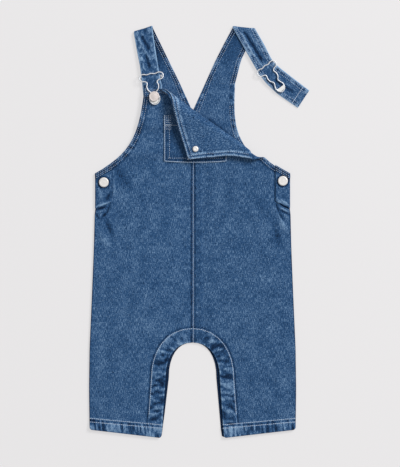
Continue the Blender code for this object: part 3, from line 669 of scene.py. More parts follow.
foldShadow = [(19.8, 379.7), (55.8, 351.6), (76.2, 339.6)]
for side, sign in (("right", -1), ("left", 1)):
    inner, outer = backEdges(side)
    topPath = [(sign * x, y) for x, y in cubic(armholes["back"], np.linspace(1, 0, 20))]
    topPath += [(sign * cut["shoulderX"], cut["shoulderSeam"] + 8)]
    veePath = [(0.0, cut["veeFoot"]), (sign * cut["neckX"], cut["shoulderSeam"] + 4)]

    def relief(x, y, topPath=topPath, veePath=veePath):
        edgeFar, edgeRun = distanceToPath(x, y, topPath)
        veeFar, veeRun = distanceToPath(x, y, veePath)
        far = np.minimum(edgeFar, veeFar)
        on = 1 - smooth(far, edging["wide"] - 1.0, edging["wide"] + 0.4)
        hem = cut["hemExtra"] * (1 - smooth(y, cut["hemDeep"] - 2, cut["hemDeep"] + 2))
        return hem + on * 0.18 * (1 + latticeNoise((edgeRun + veeRun) / 3.2, far / 4, 31)) * smooth(y,
            322.0, 334.0)

    leg = [(sign * a, b) for a, b in legEdge(backLegs[side])]

    def marks(x, y, lift, topPath=topPath, veePath=veePath, leg=leg, creases=backCreases[side]):
        edgeFar, edgeRun = distanceToPath(x, y, topPath)
        veeFar, veeRun = distanceToPath(x, y, veePath)
        far = np.minimum(edgeFar, veeFar)
        on = 1 - smooth(far, edging["wide"] - 1.0, edging["wide"] + 0.4)
        rope = latticeNoise((edgeRun + veeRun) / 3.2, far / 4, 31)
        low = 1 - smooth(y, 112.0, 120.0)
        legFar, _ = distanceToPath(x, y, leg)
        wear = (0.7 * bump(far, 0.2, 1.3) + on * np.clip(rope, 0, 1) * 0.8) * (1 - low)
        # the strip beside the leg below the crotch is darker: the wrong side of the cloth, and painted
        # shadow under the front's edge
        shade = on * (0.16 + np.clip(-rope, 0, 1) * 0.8) * (1 - low) + low * 1.25 * (1
            - smooth(legFar, 6.0, 9.0))
        shade = shade + 0.7 * (1 - smooth(distanceToPath(x, y, foldShadow)[0], 0.0, 6.0))
        # the pressed creases, sewn hem and centre seam, which show underneath: pale rows, painted highlight
        # on the crease ridges, and painted shade in the crease troughs and beside the hem and seam
        crease = creaseHeight(x, y, creases)
        wear, shade = wear + np.clip(crease, 0, 1) * 0.9, shade + np.clip(-crease, 0, 1) * 0.9
        hemLine, under = y - hemRows["rise"] * (np.abs(x) - 36), 1 - smooth(y, 340.0, 352.0)
        wear = wear + 1.6 * bump(hemLine, hemRows["high"], 1.2) + 1.6 * bump(hemLine, hemRows["low"], 1.2)
        wear = wear + 1.6 * under * bump(np.abs(x), 1.8, 1.1)
        return wear, shade + under * 1.5 * bump(np.abs(x), 4.2, 1.6) + 1.5 * bump(hemLine, 13.3, 1.4)

    piece = clothShell("back" + side.capitalize(), inner, outer, onBack, relief, marks, openTop=True,
                       backMarks=0.8, corners=(3.2, 0, 0))
    piece.data.materials.append(denim)
    clothPieces["back_" + side] = (piece, flatArea(inner, outer), flatSize(inner, outer))
print("backs made")

# ---- the facing inside the bib, and the pocket ----

facingEdges = []
for side, sign in (("right", -1), ("left", 1)):
    line = cubic(armholes[side], np.linspace(0, 1, 121))
    facingRows = evenSteps(cut["facingFoot"] - 3.0, armholes[side][0][1] - 0.3, 28)
    facingEdges.append([(sign * (float(np.interp(-y, -line[:, 1], line[:, 0])) - 0.6), y)
            for y in facingRows])
facingTop = facingEdges[0] + facingEdges[1][::-1]


def onFacing(x, y, off):
    return onFront(x, y, off - cut["facingDrop"])


def noRelief(x, y):
    return 0.0 * x


def facingMarks(x, y, lift):
    far, run = distanceToPath(x, y, facingTop)
    on = 1 - smooth(far, edging["wide"] - 1.0, edging["wide"] + 0.4)
    rope = latticeNoise(run / 3.4, far / 5.0, 41)
    fine = latticeNoise(run / 1.3, far / 1.6, 43)
    wear = (0.95 + 0.4 * fine) * bump(far, 1.0, 2.8) + (0.85 + 0.6 * rope) * bump(far, 5.8, 2.4)
    return wear, on * np.clip(-rope, 0, 1) * 0.5 + 0.6 * bump(far, 3.4, 1.3) + 0.4 * bump(far, 8.0, 1.5)


facing = clothShell("bibFacing", facingEdges[0], facingEdges[1], onFacing, noRelief, facingMarks,
                    backMarks=1.0, corners=(0, 3.2, 5.6))
facing.data.materials.append(denimFlap)
clothPieces["bib_facing"] = (facing, flatArea(*facingEdges), flatSize(*facingEdges))

pocket = {"x0": -34.3, "x1": 41.0, "y0": 331.6, "y1": 387.0, "dip": 1.6, "hem": 11.8, "stitchIn": 0.9}


def pocketFoot(x):
    middle, half = (pocket["x0"] + pocket["x1"]) / 2, (pocket["x1"] - pocket["x0"]) / 2
    return pocket["y0"] - pocket["dip"] * (1 - ((x - middle) / half) ** 2)


pocketAcross = np.linspace(pocket["x0"], pocket["x1"], 30)
pocketLow = [(x, float(pocketFoot(x))) for x in pocketAcross]
pocketHigh = [(x, pocket["y1"]) for x in pocketAcross]


def onPocket(x, y, off):
    return onFront(x, y, off + garment["ply"] + garment["gap"])


def pocketRelief(x, y):
    hem = smooth(y, pocket["y1"] - pocket["hem"] - 0.8, pocket["y1"] - pocket["hem"] + 0.4)
    return 0.3 * hem + 0.15 * hem * latticeNoise(x / 3, y / 6, 53)


def pocketMarks(x, y, lift):
    edge = np.minimum(np.minimum(x - pocket["x0"], pocket["x1"] - x), y - pocketFoot(x))
    hem = smooth(y, pocket["y1"] - pocket["hem"] - 0.8, pocket["y1"] - pocket["hem"] + 0.4)
    wear = 1.1 * bump(edge, 0.0, 1.7) + 0.7 * bump(pocket["y1"] - y, 0.0, 1.5) + 0.25 * hem
    # the pocket is darker overall: painted shadow under the flap
    return wear, 0.22 + 0.35 * bump(edge, 3.2, 1.4) + 0.2 * bump(edge, 7.4, 1.4)


chest = clothShell("chestPocket", pocketLow, pocketHigh, onPocket, pocketRelief, pocketMarks)
chest.data.materials.append(denim)
clothPieces["chest_pocket"] = (chest, flatArea(pocketLow, pocketHigh), flatSize(pocketLow, pocketHigh))
print("facing and pocket made")

# ---- the straps ----

strapThick = 2.0
straps = {
    "left": [
        {"at": "seam", "x0": 15.0, "y0": 425.05, "x1": 50.9, "y1": 425.05, "z": 1.0},
        {"at": "shoulder", "x0": 27.6, "y0": 453.0, "x1": 58.4, "y1": 454.0, "z": 1.0},
        {"at": "upper", "x0": 37.1, "y0": 471.7, "x1": 66.7, "y1": 471.0, "z": 1.0},
        {"at": "fold", "x0": 48.0, "y0": 492.1, "x1": 75.4, "y1": 489.2, "z": 1.0},
        {"at": "over", "x0": 48.2, "y0": 492.1, "x1": 76.0, "y1": 489.2, "z": 3.3},
        {"at": "front", "x0": 62.8, "y0": 466.0, "x1": 86.2, "y1": 471.5, "z": 3.3},
        {"at": "above hook", "x0": 74.0, "y0": 446.5, "x1": 93.2, "y1": 457.4, "z": 3.3},
        {"at": "hook", "x0": 79.9, "y0": 436.4, "x1": 97.0, "y1": 451.0, "z": 3.3},
        {"at": "bend", "x0": 87.9, "y0": 425.9, "x1": 104.8, "y1": 444.0, "z": 3.3},
        {"at": "tail", "x0": 101.9, "y0": 412.6, "x1": 117.3, "y1": 434.3, "z": 1.6},
        {"at": "end", "x0": 126.2, "y0": 396.1, "x1": 140.0, "y1": 417.0, "z": 1.0},
    ],
    "right": [
        {"at": "seam", "x0": -50.9, "y0": 425.05, "x1": -15.0, "y1": 425.05, "z": 1.0},
        {"at": "shoulder", "x0": -58.4, "y0": 454.0, "x1": -29.0, "y1": 453.6, "z": 1.0},
        {"at": "upper", "x0": -65.2, "y0": 470.0, "x1": -37.8, "y1": 471.8, "z": 1.0},
        {"at": "fold", "x0": -70.2, "y0": 485.7, "x1": -48.0, "y1": 492.6, "z": 1.0},
        {"at": "over", "x0": -70.6, "y0": 485.7, "x1": -48.4, "y1": 492.6, "z": 3.3},
        {"at": "front", "x0": -66.4, "y0": 462.0, "x1": -44.6, "y1": 466.8, "z": 3.3},
        {"at": "above hook", "x0": -63.2, "y0": 446.0, "x1": -41.6, "y1": 448.0, "z": 4.2},
        {"at": "hook", "x0": -61.6, "y0": 434.0, "x1": -40.0, "y1": 437.0, "z": 4.6},
        {"at": "below hook", "x0": -60.9, "y0": 428.6, "x1": -38.6, "y1": 431.2, "z": 4.6},
        {"at": "bib top", "x0": -60.2, "y0": 422.0, "x1": -37.2, "y1": 424.5, "z": 3.4},
        {"at": "tail", "x0": -59.0, "y0": 410.0, "x1": -35.4, "y1": 412.0, "z": 2.5},
        {"at": "end", "x0": -55.5, "y0": 381.0, "x1": -31.0, "y1": 384.0, "z": 2.5},
    ],
}
# creases on the folded-over length: across and down from the fold, half width, height
strapCreases = {
    "right": [
        {"path": [(4.6, 10.0), (8.6, 24.8), (14.3, 38.6)], "reach": 1.8, "high": 0.75},
        {"path": [(9.5, 4.6), (14.0, 17.4)], "reach": 1.7, "high": 0.5},
        {"path": [(9.2, 10.0), (14.6, 25.0)], "reach": 3.0, "high": -0.75},
        {"path": [(9.7, 32.0), (11.4, 47.0)], "reach": 2.6, "high": -0.65},
        {"path": [(13.6, 0.0), (14.0, 6.0)], "reach": 2.2, "high": -0.5},
        {"path": [(3.6, 34.0), (5.4, 50.0)], "reach": 1.6, "high": 0.35},
    ],
    "left": [
        {"path": [(7.1, 9.0), (5.9, 26.2), (6.9, 39.0), (8.0, 52.0)], "reach": 1.7, "high": 0.7},
        {"path": [(11.5, 8.0), (11.1, 29.0), (11.2, 45.0)], "reach": 2.7, "high": -0.75},
        {"path": [(15.9, 9.0), (16.4, 34.0)], "reach": 1.7, "high": 0.5},
        {"path": [(11.4, 46.0), (13.0, 56.0)], "reach": 1.6, "high": 0.5},
        {"path": [(14.0, 72.0), (16.6, 92.0)], "reach": 1.8, "high": 0.4},
        {"path": [(11.4, 74.0), (12.6, 98.0)], "reach": 3.0, "high": -0.55},
    ],
}


def alongRows(rows, steps):
    # straight steps between sections, with the corners eased
    rows = np.array(rows, float)
    place = np.linspace(0, len(rows) - 1, (len(rows) - 1) * steps + 1)
    dense = np.stack([np.interp(place, np.arange(len(rows)), rows[:, k]) for k in range(rows.shape[1])], -1)
    eased = dense.copy()
    for _ in range(3):
        eased[1:-1] = (eased[:-2] + 2 * eased[1:-1] + eased[2:]) / 4
    return eased


def strapRun(side):
    keys = ("x0", "y0", "z", "x1", "y1", "z")
    folded = [row["at"] for row in straps[side]].index("fold") + 1
    before = alongRows([[row[k] for k in keys] for row in straps[side][:folded]], 10)
    after = alongRows([[row[k] for k in keys] for row in straps[side][folded:]], 10)
    before = np.insert(before, 1, before[0] * 0.97 + before[1] * 0.03, axis=0)
    after = np.insert(after, -1, after[-1] * 0.9 + after[-2] * 0.1, axis=0)
    turn = (strapThick + garment["gap"]) / 2
    arc = []
    for angle in np.radians(np.linspace(-75, 75, 9)):
        step = np.array([0, turn * math.cos(angle), turn + turn * math.sin(angle)] * 2)
        arc.append(before[-1] + step)
    run = np.concatenate([before, arc, after])
    left, right = run[:, :3], run[:, 3:]
    middle = (left + right) / 2
    forward = np.gradient(middle, axis=0)
    normal = np.cross(right - left, forward)
    normal /= np.linalg.norm(normal, axis=1)[:, None]
    length = np.concatenate([[0], np.cumsum(np.linalg.norm(np.diff(middle, axis=0), axis=1))])
    return left, right, normal, length, len(before) + 4


def strapLift(side, across, width, length, turnAt):
    # height of the creases and the stitched edges above the strap's face
    far = np.minimum(across, 1 - across) * width
    lift = 0.12 * (1 - smooth(far, 5.2, 6.4)) * (1 + latticeNoise(length / 3.2, far / 4, 61))
    for crease in strapCreases[side]:
        away, _ = distanceToPath(across * width, length - turnAt, crease["path"])
        lift = lift + crease["high"] * (1 - smooth(away, 0.0, crease["reach"]))
    return lift


def strapShell(side):
    left, right, normal, length, turnRow = strapRun(side)
    width = np.linalg.norm(right - left, axis=1)
    across = rimSpacing(width.mean(), 20) / width.mean()
    s, w, run = across[None, :], width[:, None], length[:, None]
    far = np.minimum(s, 1 - s) * w
    full = rimRound(far, 1.0, 0.3)
    lift = strapLift(side, s, w, run, length[turnRow])
    shown = (np.arange(len(length)) < turnRow)[:, None]
    base = left[:, None, :] + (right - left)[:, None, :] * across[None, :, None]
    start = 0.8 * (1 - smooth(run, 0.0, 12.0))
    up = (strapThick / 2 - start + np.where(shown, lift, 0.0)) * full
    down = (strapThick / 2 + np.where(shown, 0.0, lift)) * full
    top = base + normal[:, None, :] * up[..., None]
    low = base - normal[:, None, :] * down[..., None]
    rope = latticeNoise(run / 3.2 + 0 * s, far / 4, 61)
    edgeOn = 1 - smooth(far, 5.2, 6.4)
    # pale edges, the folded-over edge partly wear and partly painted highlight; crease ridges painted
    # highlight and troughs painted shade
    wear = (0.4 + 1.8 * ~shown) * bump(far, 0.3, 1.4) + edgeOn * np.clip(rope, 0, 1) * 1.0 + np.clip(lift
        - 0.2, 0, 1) * 2.2
    shade = edgeOn * (0.1 + np.clip(-rope, 0, 1) * 0.9) + np.clip(-lift, 0, 1) * 1.6
    # painted shadow on the back length of the strap, under and beside the folded-over part
    shade = shade + (1.0 if side == "right" else 0.4) * shown * smooth(run, length[turnRow] - 66,
        length[turnRow] - 14)
    laid = np.stack([s * w + 0 * run, run + 0 * s], -1)
    piece = closedShell("strap" + side.capitalize(), top, low, laid, (wear, shade), 1.0)
    piece.data.materials.append(denim)
    size = (float(width.mean()) * millimetre, float(length[-1]) * millimetre)
    clothPieces["strap_" + side] = (piece, size[0] * size[1], size)
    return left, right, normal, length, turnRow


strapRuns = {side: strapShell(side) for side in straps}
print("straps made")

# ---- the side tabs ----

tabEdge = {"flatX": 115.4, "sideX": 116.4, "middle": 3.6, "turn": 1.0, "foot": 0.95}
tabFoot = {"left": (284.2, 275.6), "right": (283.0, 275.6)}  # height of its lower edge: free end, side


def tabProfile(freeX):
    # across the tab: over the front, round the side and down: x, z and the way out
    flat = [(x, tabEdge["middle"], 0.0, 1.0) for x in np.linspace(freeX, tabEdge["flatX"], 16)]
    turn = []
    for angle in np.radians(np.linspace(80, 0, 7)):
        x = tabEdge["flatX"] + tabEdge["turn"] * math.cos(angle)
        turn.append((x, tabEdge["middle"] - tabEdge["turn"] * (1 - math.sin(angle)), math.cos(angle),
                math.sin(angle)))
    return np.array(flat + turn + [(turn[-1][0], tabEdge["foot"], 1.0, 0.0)])


def tabShell(side):
    sign = 1 if side == "left" else -1
    freeX = tabFree[side]
    profile = tabProfile(freeX)
    t = rimSpacing(37.0, 28)[:, None] / 37.0
    x, z = profile[None, :, 0], profile[None, :, 1]
    top = tab["topY"] + tab["slope"] * np.clip(116.6 - x, 0, 20)
    low = np.interp(x, (freeX, tabEdge["sideX"]), tabFoot[side]) + 0.4 * np.sin(x * 0.9)
    y = low + t * (top - low)
    run = np.concatenate([[0], np.cumsum(np.hypot(*np.diff(profile[:, :2], axis=0).T))])[None, :]
    far = np.minimum(np.minimum(run + 0 * t, top - y), y - low)
    full = rimRound(far, 0.8, 0.3)
    edgeOn = 1 - smooth(top - y, 5.4, 6.6)
    rope = latticeNoise(run / 2.8 + 0 * t, (top - y) / 5, 71)
    gather = creaseHeight(sign * x, y, [dict(row, high=row["high"] * 0.6) for row in frontCreases[side]])
    capAt = buttons["side"][side]
    # a ring round the cap: a slight dent in the cloth, and a painted shadow in the colour
    dimpleAndShadow = bump(np.hypot(sign * x - capAt[0], y - capAt[1]), 6.6, 2.0)
    lift = edgeOn * 0.2 * (1 + rope) + gather * smooth(top - y, 6.0, 12.0) - 0.3 * dimpleAndShadow
    out, up = profile[None, :, 2], profile[None, :, 3]
    faces = []
    for way, extra in ((1, lift), (-1, 0 * lift)):
        off = way * (halfPly + extra) * full
        faces.append(np.stack([sign * (x + out * off), y + 0 * x, z + up * off], -1))
    # gather ridges are paler and hollows darker: painted highlight and painted shade; the free edge carries
    # painted shadow
    wear = 0.9 * bump(top - y, 0.0, 1.7) + 0.4 * bump(y - low, 1.2, 1.6) + edgeOn * (0.1
        + np.clip(rope, 0, 1) * 0.8) + 2.0 * np.clip(gather, 0, 1)
    shade = edgeOn * (0.35 + np.clip(-rope, 0, 1) * 0.7) + 1.6 * np.clip(-gather, 0, 1) + 1.1 * dimpleAndShadow
    shade = shade + 0.2 * bump(run, 0.0, 1.6) + 0.9 * bump(top - y, 6.8, 1.8) + 0.5 * bump(top - y, 3.3,
        0.9)
    laid = np.stack([run + 0 * t, y + 0 * run], -1)
    piece = closedShell("sideTab" + side.capitalize(), *faces, laid, (wear, shade), 1.0)
    piece.data.materials.append(denim)
    size = (float(run.max()) * millimetre, float((top.max() - tab["footY"])) * millimetre)
    clothPieces["side_tab_" + side] = (piece, size[0] * size[1] * tab["share"], size)


for side in ("right", "left"):
    tabShell(side)
print("side tabs made")

# ---- the stitching, along paths laid on the cloth ----

stitch = {"pitch": 2.3, "segments": 6, "rings": 4}
# length and thickness of one stitch: the dotted rows along the edges, and the heavier seams
stitchKinds = {"edge": (1.25, 0.8), "seam": (2.75, 0.4), "hem": (2.3, 0.85), "bar": (2.8, 0.85)}


def stitchTree():
    tree = bpy.data.node_groups.new("stitchRows", "GeometryNodeTree")
    face = tree.interface
    face.new_socket("Geometry", in_out="INPUT", socket_type="NodeSocketGeometry")
    pitch = face.new_socket("Pitch", in_out="INPUT", socket_type="NodeSocketFloat")
    pitch.default_value = stitch["pitch"] * millimetre
    face.new_socket("Geometry", in_out="OUTPUT", socket_type="NodeSocketGeometry")
    add, link = tree.nodes.new, tree.links.new
    start, end = add("NodeGroupInput"), add("NodeGroupOutput")
    curve, resample = add("GeometryNodeMeshToCurve"), add("GeometryNodeResampleCurve")
    resample.mode = "LENGTH"
    ball, place = add("GeometryNodeMeshUVSphere"), add("GeometryNodeInstanceOnPoints")
    ball.inputs["Segments"].default_value = stitch["segments"]
    ball.inputs["Rings"].default_value = stitch["rings"]
    ball.inputs["Radius"].default_value = 0.5
    size, tangent, turn = (add("ShaderNodeCombineXYZ"), add("GeometryNodeInputTangent"),
                           add("FunctionNodeAlignRotationToVector"))
    turn.axis = "X"
    real, paint = add("GeometryNodeRealizeInstances"), add("GeometryNodeSetMaterial")
    paint.inputs["Material"].default_value = thread
    for name, axes in (("long", (0,)), ("thick", (1, 2))):
        read = add("GeometryNodeInputNamedAttribute")
        read.inputs["Name"].default_value = name
        for axis in axes:
            link(read.outputs["Attribute"], size.inputs[axis])
    link(start.outputs["Geometry"], curve.inputs["Mesh"])
    link(curve.outputs[0], resample.inputs["Curve"])
    link(start.outputs["Pitch"], resample.inputs["Length"])
    link(resample.outputs[0], place.inputs["Points"])
    link(ball.outputs["Mesh"], place.inputs["Instance"])
    link(tangent.outputs[0], turn.inputs["Vector"])
    link(turn.outputs[0], place.inputs["Rotation"])
    link(size.outputs[0], place.inputs["Scale"])
    link(place.outputs[0], real.inputs[0])
    link(real.outputs[0], paint.inputs["Geometry"])
    link(paint.outputs[0], end.inputs["Geometry"])
    return tree, pitch.identifier


stitchRows, pitchSocket = stitchTree()


def sewn(name, rows):
    # rows of stitches along paths of laid points, each with its kind, made a plain mesh
    points, edges, kinds = [], [], []
    for path, kind in rows:
        first = len(points)
        points += toRow(path).tolist()
        kinds += [stitchKinds[kind]] * len(path)
        edges += [(first + i, first + i + 1) for i in range(len(path) - 1)]
    mesh = bpy.data.meshes.new(name + "Path")
    mesh.from_pydata(points, edges, [])
    for label, values in zip(("long", "thick"), zip(*kinds)):
        mesh.attributes.new(label, "FLOAT", "POINT").data.foreach_set("value",
            [v * millimetre for v in values])
    guide = bpy.data.objects.new(name + "Path", mesh)
    bpy.context.scene.collection.objects.link(guide)
    modifier = guide.modifiers.new("stitchRows", "NODES")
    modifier.node_group = stitchRows
    modifier[pitchSocket] = stitch["pitch"] * millimetre
    made = bpy.data.meshes.new_from_object(guide.evaluated_get(bpy.context.evaluated_depsgraph_get()))
    bpy.data.objects.remove(guide)
    made.materials.clear()
    made.materials.append(thread)
    made.polygons.foreach_set("material_index", [0] * len(made.polygons))
    made.polygons.foreach_set("use_smooth", [True] * len(made.polygons))
    piece = bpy.data.objects.new(name, made)
    bpy.context.scene.collection.objects.link(piece)
    return piece


def inset(path, distance):
    # the path moved sideways to its left by a distance
    path = np.array(path, float)
    ahead = np.gradient(path, axis=0)
    ahead /= np.linalg.norm(ahead, axis=1)[:, None]
    return path + np.stack([-ahead[:, 1], ahead[:, 0]], -1) * distance


def finePath(path, spacing=1.2):
    path = np.array(path, float)
    run = np.concatenate([[0], np.cumsum(np.hypot(*np.diff(path, axis=0).T))])
    at = np.linspace(0, run[-1], max(int(run[-1] / spacing), 2))
    return np.stack([np.interp(at, run, path[:, k]) for k in (0, 1)], -1)


def laidOn(path, place, relief, proud=0.1, way=1):
    path = finePath(path)
    x, y = path[:, 0], path[:, 1]
    return place(x, y, way * (halfPly + (relief(x, y) if relief else 0.0) + proud))


sewnOn = {}
for side, sign in (("right", -1), ("left", 1)):
    relief = reliefs["front_" + side]
    arm = armholePath(side, sign)
    topY = cut["bibTop"]
    corner = armholes[side][0]
    rows = [(inset(arm, -sign * d), "edge") for d in (1.8, 4.9)]
    rows += [([(seamLean(topY) + sign * 2.0, topY - d), (sign * (corner[0] - 2.0), corner[1] - d)], "edge")
             for d in (1.8, 4.9)]
    leg = [(sign * x, y) for x, y in legEdge(frontLeg)][2:]
    rows.append((inset(leg, -sign * (inseam["wide"] - 0.4)), "hem"))
    for name in ("low", "high"):
        inner, outer = frontLeg["hemX"] - 0.5, 122.4
        rise = hemRows["rise"] * (outer - inner)
        rows.append(([(sign * inner, hemRows[name] + 0.6), (sign * outer, hemRows[name] + rise)], "hem"))
    if side == "left":
        ys = np.linspace(cut["crotch"] + 1, pocket["y0"] - 2, 60)
        rows.append((np.stack([1.1 + seamLean(ys), ys], -1), "seam"))
    laid = [(laidOn(row, onFront, relief), kind) for row, kind in rows]
    sewnOn["front_" + side] = sewn("stitches" + side.capitalize() + "Front", laid)
    vee = np.array([(sign * 1.0, cut["veeFoot"] - 3), (sign * cut["neckX"], cut["shoulderSeam"])])
    arm = [(sign * x, y) for x, y in cubic(armholes["back"], np.linspace(0.02, 0.75, 25))]
    rows = [inset(arm, -sign * d) for d in (2.2, 5.4)] + [inset(vee, -sign * d) for d in (2.2, 5.4)]
    laid = [(laidOn(row, onBack, None, 0.3), "edge") for row in rows]
    sewnOn["back_" + side] = sewn("stitches" + side.capitalize() + "Back", laid)
    left, right, normal, length, turnRow = strapRuns[side]
    width = np.linalg.norm(right - left, axis=1)
    rows = []
    sewnLength = len(length) if side == "left" else turnRow - 6
    for d in (2.1, 5.2):
        for share in (d / width, 1 - d / width):
            lift = strapLift(side, share, width, length, length[turnRow])
            base = left + (right - left) * share[:, None]
            shown = np.where(np.arange(len(length)) < turnRow, 1, -1)
            row = base + normal * (shown * (strapThick / 2 + np.maximum(lift, 0) + 0.1))[:, None]
            rows.append((row[:sewnLength], "edge"))
    shares = np.linspace(0.03, 0.97, 12)
    endRow = len(length) - 5
    across = left[endRow] + (right - left)[endRow] * shares[:, None]
    rows.append((across - normal[endRow] * (strapThick / 2 + 0.35), "bar"))
    sewnOn["strap_" + side] = sewn("stitches" + side.capitalize() + "Strap", rows)

flapRows = [inset(armholePath("left", 1), -d) for d in (1.4, 5.4)]
corner = armholes["left"][0]
flapRows += [[(-30.0, cut["bibTop"] - d), (0.0, cut["bibTop"] - d), (corner[0] - 2.6, corner[1] - d)]
             for d in (1.4, 5.4)]
flapLaid = [laidOn([p for p in row if p[1] > cut["facingFoot"]], onFacing, None, 0.12, -1)
            for row in flapRows]
sewnOn["bib_facing"] = sewn("stitchesFacing", [(row, "edge") for row in flapLaid])

x0, x1, y0, y1 = (pocket[k] for k in ("x0", "x1", "y0", "y1"))
d = pocket["stitchIn"]
border = [(x0 + d, y1 - 0.8), (x0 + d, y0 + d)]
border += [(x, float(pocketFoot(x)) + d) for x in np.linspace(x0 + 2, x1 - 2, 12)] + [(x1 - d, y0 + d),
    (x1 - d, y1 - 0.8)]
pocketRows = [(border, "bar"), ([(x0 + 6.6, y1 - 12), (x0 + 6.6, y0 + 4.4)], "edge")]
pocketRows += [([(x0 + 5.4, y0 + 4.2), (x1 - 5.4, y0 + 4.2)], "edge")]
pocketRows += [([(x0 + 2, y1 - pocket["hem"]), (x1 - 2, y1 - pocket["hem"])], "hem")]
pocketRows += [([(x0 + 0.8, y), (x0 + 8.0, y)], "seam") for y in np.arange(y1 - 16.4, y1 - 0.4, 2.7)]
pocketRows += [([(x0 + at, y1 - 16.4), (x0 + at, y1 - 0.8)], "edge") for at in (3.4, 5.6, 7.6)]
sewnOn["chest_pocket"] = sewn("stitchesPocket",
                        [(laidOn(row, onPocket, pocketRelief), kind) for row, kind in pocketRows])

for side, sign in (("right", -1), ("left", 1)):
    rows = []
    for down in (1.3, 3.7, 6.1):
        xs = np.linspace(tabFree[side] + 1, tabEdge["flatX"] - 0.6, 12)
        ys = tab["topY"] + tab["slope"] * (116.6 - xs) - down
        rows.append((np.stack([sign * xs, ys, 0 * xs + tabEdge["middle"] + halfPly + 0.6], -1), "edge"))
    sewnOn["side_tab_" + side] = sewn("stitches" + side.capitalize() + "Tab", rows)
print("stitching sewn:", sum(len(o.data.polygons) for o in sewnOn.values()), "faces")

# ---- the metal ----

for node, finish in (("hook_bar_left", nickel), ("hook_bar_right", nickel), ("hook_plate_left", stamped),
                     ("hook_plate_right", stamped)):
    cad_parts[node].data.materials[0] = finish
hook = {
    "outline": [(0, 30.6), (4.6, 29.6), (9.4, 30.7), (13.0, 29.6), (14.6, 26.4), (12.6, 22.8), (8.6, 21.8),
                (6.0, 19.6),
                (7.1, 15.4), (6.2, 11.2), (3.5, 7.8), (4.4, 4.6), (6.0, 1.0), (5.4, -3.0), (3.0, -6.0), (0,
                    -6.9)],
    "wire": 0.68, "around": 12, "steps": 6,
    "right": {"x": -45.4, "y": 407.1, "turn": 9.1, "bar": 6.9, "loop": 9.6},
    "left": {"x": 104.4, "y": 421.8, "turn": 36.0, "bar": 5.8, "loop": 5.6, "slim": 0.89},
}


def wireHook(side):
    at, half = hook[side], hook["outline"]
    ring = half + [(-x, y) for x, y in reversed(half[1:-1])]
    angle, count = math.radians(at["turn"]), len(ring)
    knots = []
    for x, y in ring:
        x = x * at.get("slim", 1.0)
        knots.append((at["x"] + x * math.cos(angle) - y * math.sin(angle), at["y"] + x * math.sin(angle)
                + y * math.cos(angle),
                      at["loop"] + (at["bar"] - at["loop"]) * float(smooth(y, 12.0, 30.0))))
    path = []
    for i in range(count):
        a, b, c, d = (np.array(knots[(i + k) % count]) for k in (-1, 0, 1, 2))
        for t in np.arange(hook["steps"]) / hook["steps"]:
            path.append((2 * b + (c - a) * t + (2 * a - 5 * b + 4 * c - d) * t * t
                    + (3 * b - a - 3 * c + d) * t**3) / 2)
    path = np.array(path)
    ahead = np.roll(path, -1, 0) - np.roll(path, 1, 0)
    ahead /= np.linalg.norm(ahead, axis=1)[:, None]
    out = np.cross(ahead, [0, 0, 1.0])
    out /= np.linalg.norm(out, axis=1)[:, None]
    up = np.cross(out, ahead)
    turns = np.linspace(0, 2 * math.pi, hook["around"], endpoint=False)
    points = path[:, None] + hook["wire"] * (out[:, None] * np.cos(turns)[None, :, None]
                            + up[:, None] * np.sin(turns)[None, :, None])
    n, k = len(path), hook["around"]
    ids = np.arange(n * k).reshape(n, k)
    quads = np.stack([ids, np.roll(ids, -1, 1), np.roll(np.roll(ids, -1, 0), -1, 1), np.roll(ids, -1, 0)],
                     -1).reshape(-1, 4)
    mesh = bpy.data.meshes.new("wireHook" + side.capitalize())
    mesh.from_pydata(toRow(points.reshape(-1, 3)).tolist(), [], quads.tolist())
    piece = finishMesh(mesh.name, mesh)
    piece.data.materials.append(nickel)
    return piece


def turnedPiece(name, at, base, profile, material, sides=48):
    # a round piece from its profile, a list of radius and height
    fine = alongRows(profile, 3)
    points, faces = [(at[0], at[1], base + fine[0][1])], []
    angles = np.linspace(0, 2 * math.pi, sides, endpoint=False)
    for radius, height in fine[1:-1]:
        points += [(at[0] + radius * math.cos(a), at[1] + radius * math.sin(a), base + height)
                   for a in angles]
    points.append((at[0], at[1], base + fine[-1][1]))
    rings, last = len(fine) - 2, len(points) - 1
    for k in range(sides):
        after = (k + 1) % sides
        faces.append((0, 1 + after, 1 + k))
        for ring in range(rings - 1):
            a = 1 + ring * sides
            faces.append((a + k, a + after, a + sides + after, a + sides + k))
        faces.append((1 + (rings - 1) * sides + k, 1 + (rings - 1) * sides + after, last))
    mesh = bpy.data.meshes.new(name)
    mesh.from_pydata(toRow(points).tolist(), [], faces)
    piece = finishMesh(name, mesh)
    piece.data.materials.append(material)
    return piece


metalPieces = {}
x, y = buttons["right"]
lay = float(frontHeight(np.array(x), np.array(y)))
metalPieces["bib_button_right"] = turnedPiece("bibButtonRight", (x, y), lay + halfPly + garment["gap"],
                        buttons["head"], pinkNickel)
x, y, z = onFront(*(np.array(v) for v in buttons["left"]), 0.0)
metalPieces["bib_button_left"] = turnedPiece("bibButtonLeft", (x, y), z - halfPly - garment["gap"],
                        buttons["under"], nickel)
stud = z + halfPly + cut["facingDrop"] + 2 * garment["gap"]
metalPieces["bib_stud_left"] = turnedPiece("bibStudLeft", (x, y), stud, buttons["tack"], capMetal)
for side, at in buttons["side"].items():
    base = 3 * garment["ply"] + 3 * garment["gap"]
    metalPieces["side_button_" + side] = turnedPiece("sideButton" + side.capitalize(), at, base,
                            buttons["cap"], capMetal)
    metalPieces["hook_" + side] = wireHook(side)
print("metal made")

# ---- each piece rides on the body and stands for its solid ----

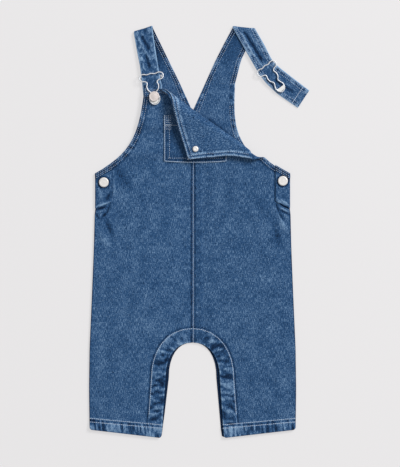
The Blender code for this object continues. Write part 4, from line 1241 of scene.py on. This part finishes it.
for node, piece in metalPieces.items():
    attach(piece, "root")
    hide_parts(node)
for node, (piece, area, size) in clothPieces.items():
    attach(piece, "root")
    "denim_inside" if node == "bib_facing" else "denim"
    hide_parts(node)
    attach(sewnOn[node], "root")
    held = "folded" if node.startswith("strap") or node in ("bib_facing", "front_left") else "laid"
    print("sheet", node, "cut %.0f x %.0f mm" % (size[0] * 1000, size[1] * 1000), "area %.4f" % area)

# ---- floor, light and camera ----

studio = {"floor": (0.24, 0.236, 0.238, 1), "glow": (1.0, 0.985, 0.992, 1), "lit": 0.595, "room": 0.34,
          "key": 140.0, "fill": 8.0, "high": 6.0, "middle": (0.0020, -0.0018), "tall": 0.5604}
bpy.ops.mesh.primitive_plane_add(size=6, location=(0, 0, -0.0002))
floor = bpy.context.object
floor.name = "floor"
paper = Finish("palePaper").set(Base_Color=studio["floor"], Roughness=0.95, Specular_IOR_Level=0.1,
                                 Emission_Color=studio["glow"], Emission_Strength=studio["lit"])
floor.data.materials.append(paper.material)

world = bpy.data.worlds.new("softRoom")
bpy.context.scene.world = world
world.use_nodes = True
world.node_tree.nodes["Background"].inputs["Color"].default_value = (1, 1, 1, 1)
world.node_tree.nodes["Background"].inputs["Strength"].default_value = studio["room"]


def softbox(name, at, size, power):
    lamp = bpy.data.lights.new(name, "AREA")
    lamp.shape, lamp.size, lamp.energy = "SQUARE", size, power
    stand = bpy.data.objects.new(name, lamp)
    stand.location = at
    stand.rotation_euler = (-Vector(at)).to_track_quat("-Z", "Y").to_euler()
    bpy.context.scene.collection.objects.link(stand)


softbox("keyLight", (2.3, 1.9, 2.9), 1.5, studio["key"])
softbox("fillLight", (-2.0, -1.0, 3.0), 2.4, studio["fill"])
lens = bpy.data.cameras.new("camera")
lens.sensor_fit = "VERTICAL"
lens.sensor_height = 24.0
lens.lens = 24.0 * studio["high"] / studio["tall"]
camera = bpy.data.objects.new("camera", lens)
camera.location = (*studio["middle"], studio["high"])
bpy.context.scene.collection.objects.link(camera)
bpy.context.scene.camera = camera
bpy.context.scene.view_settings.view_transform = "Standard"
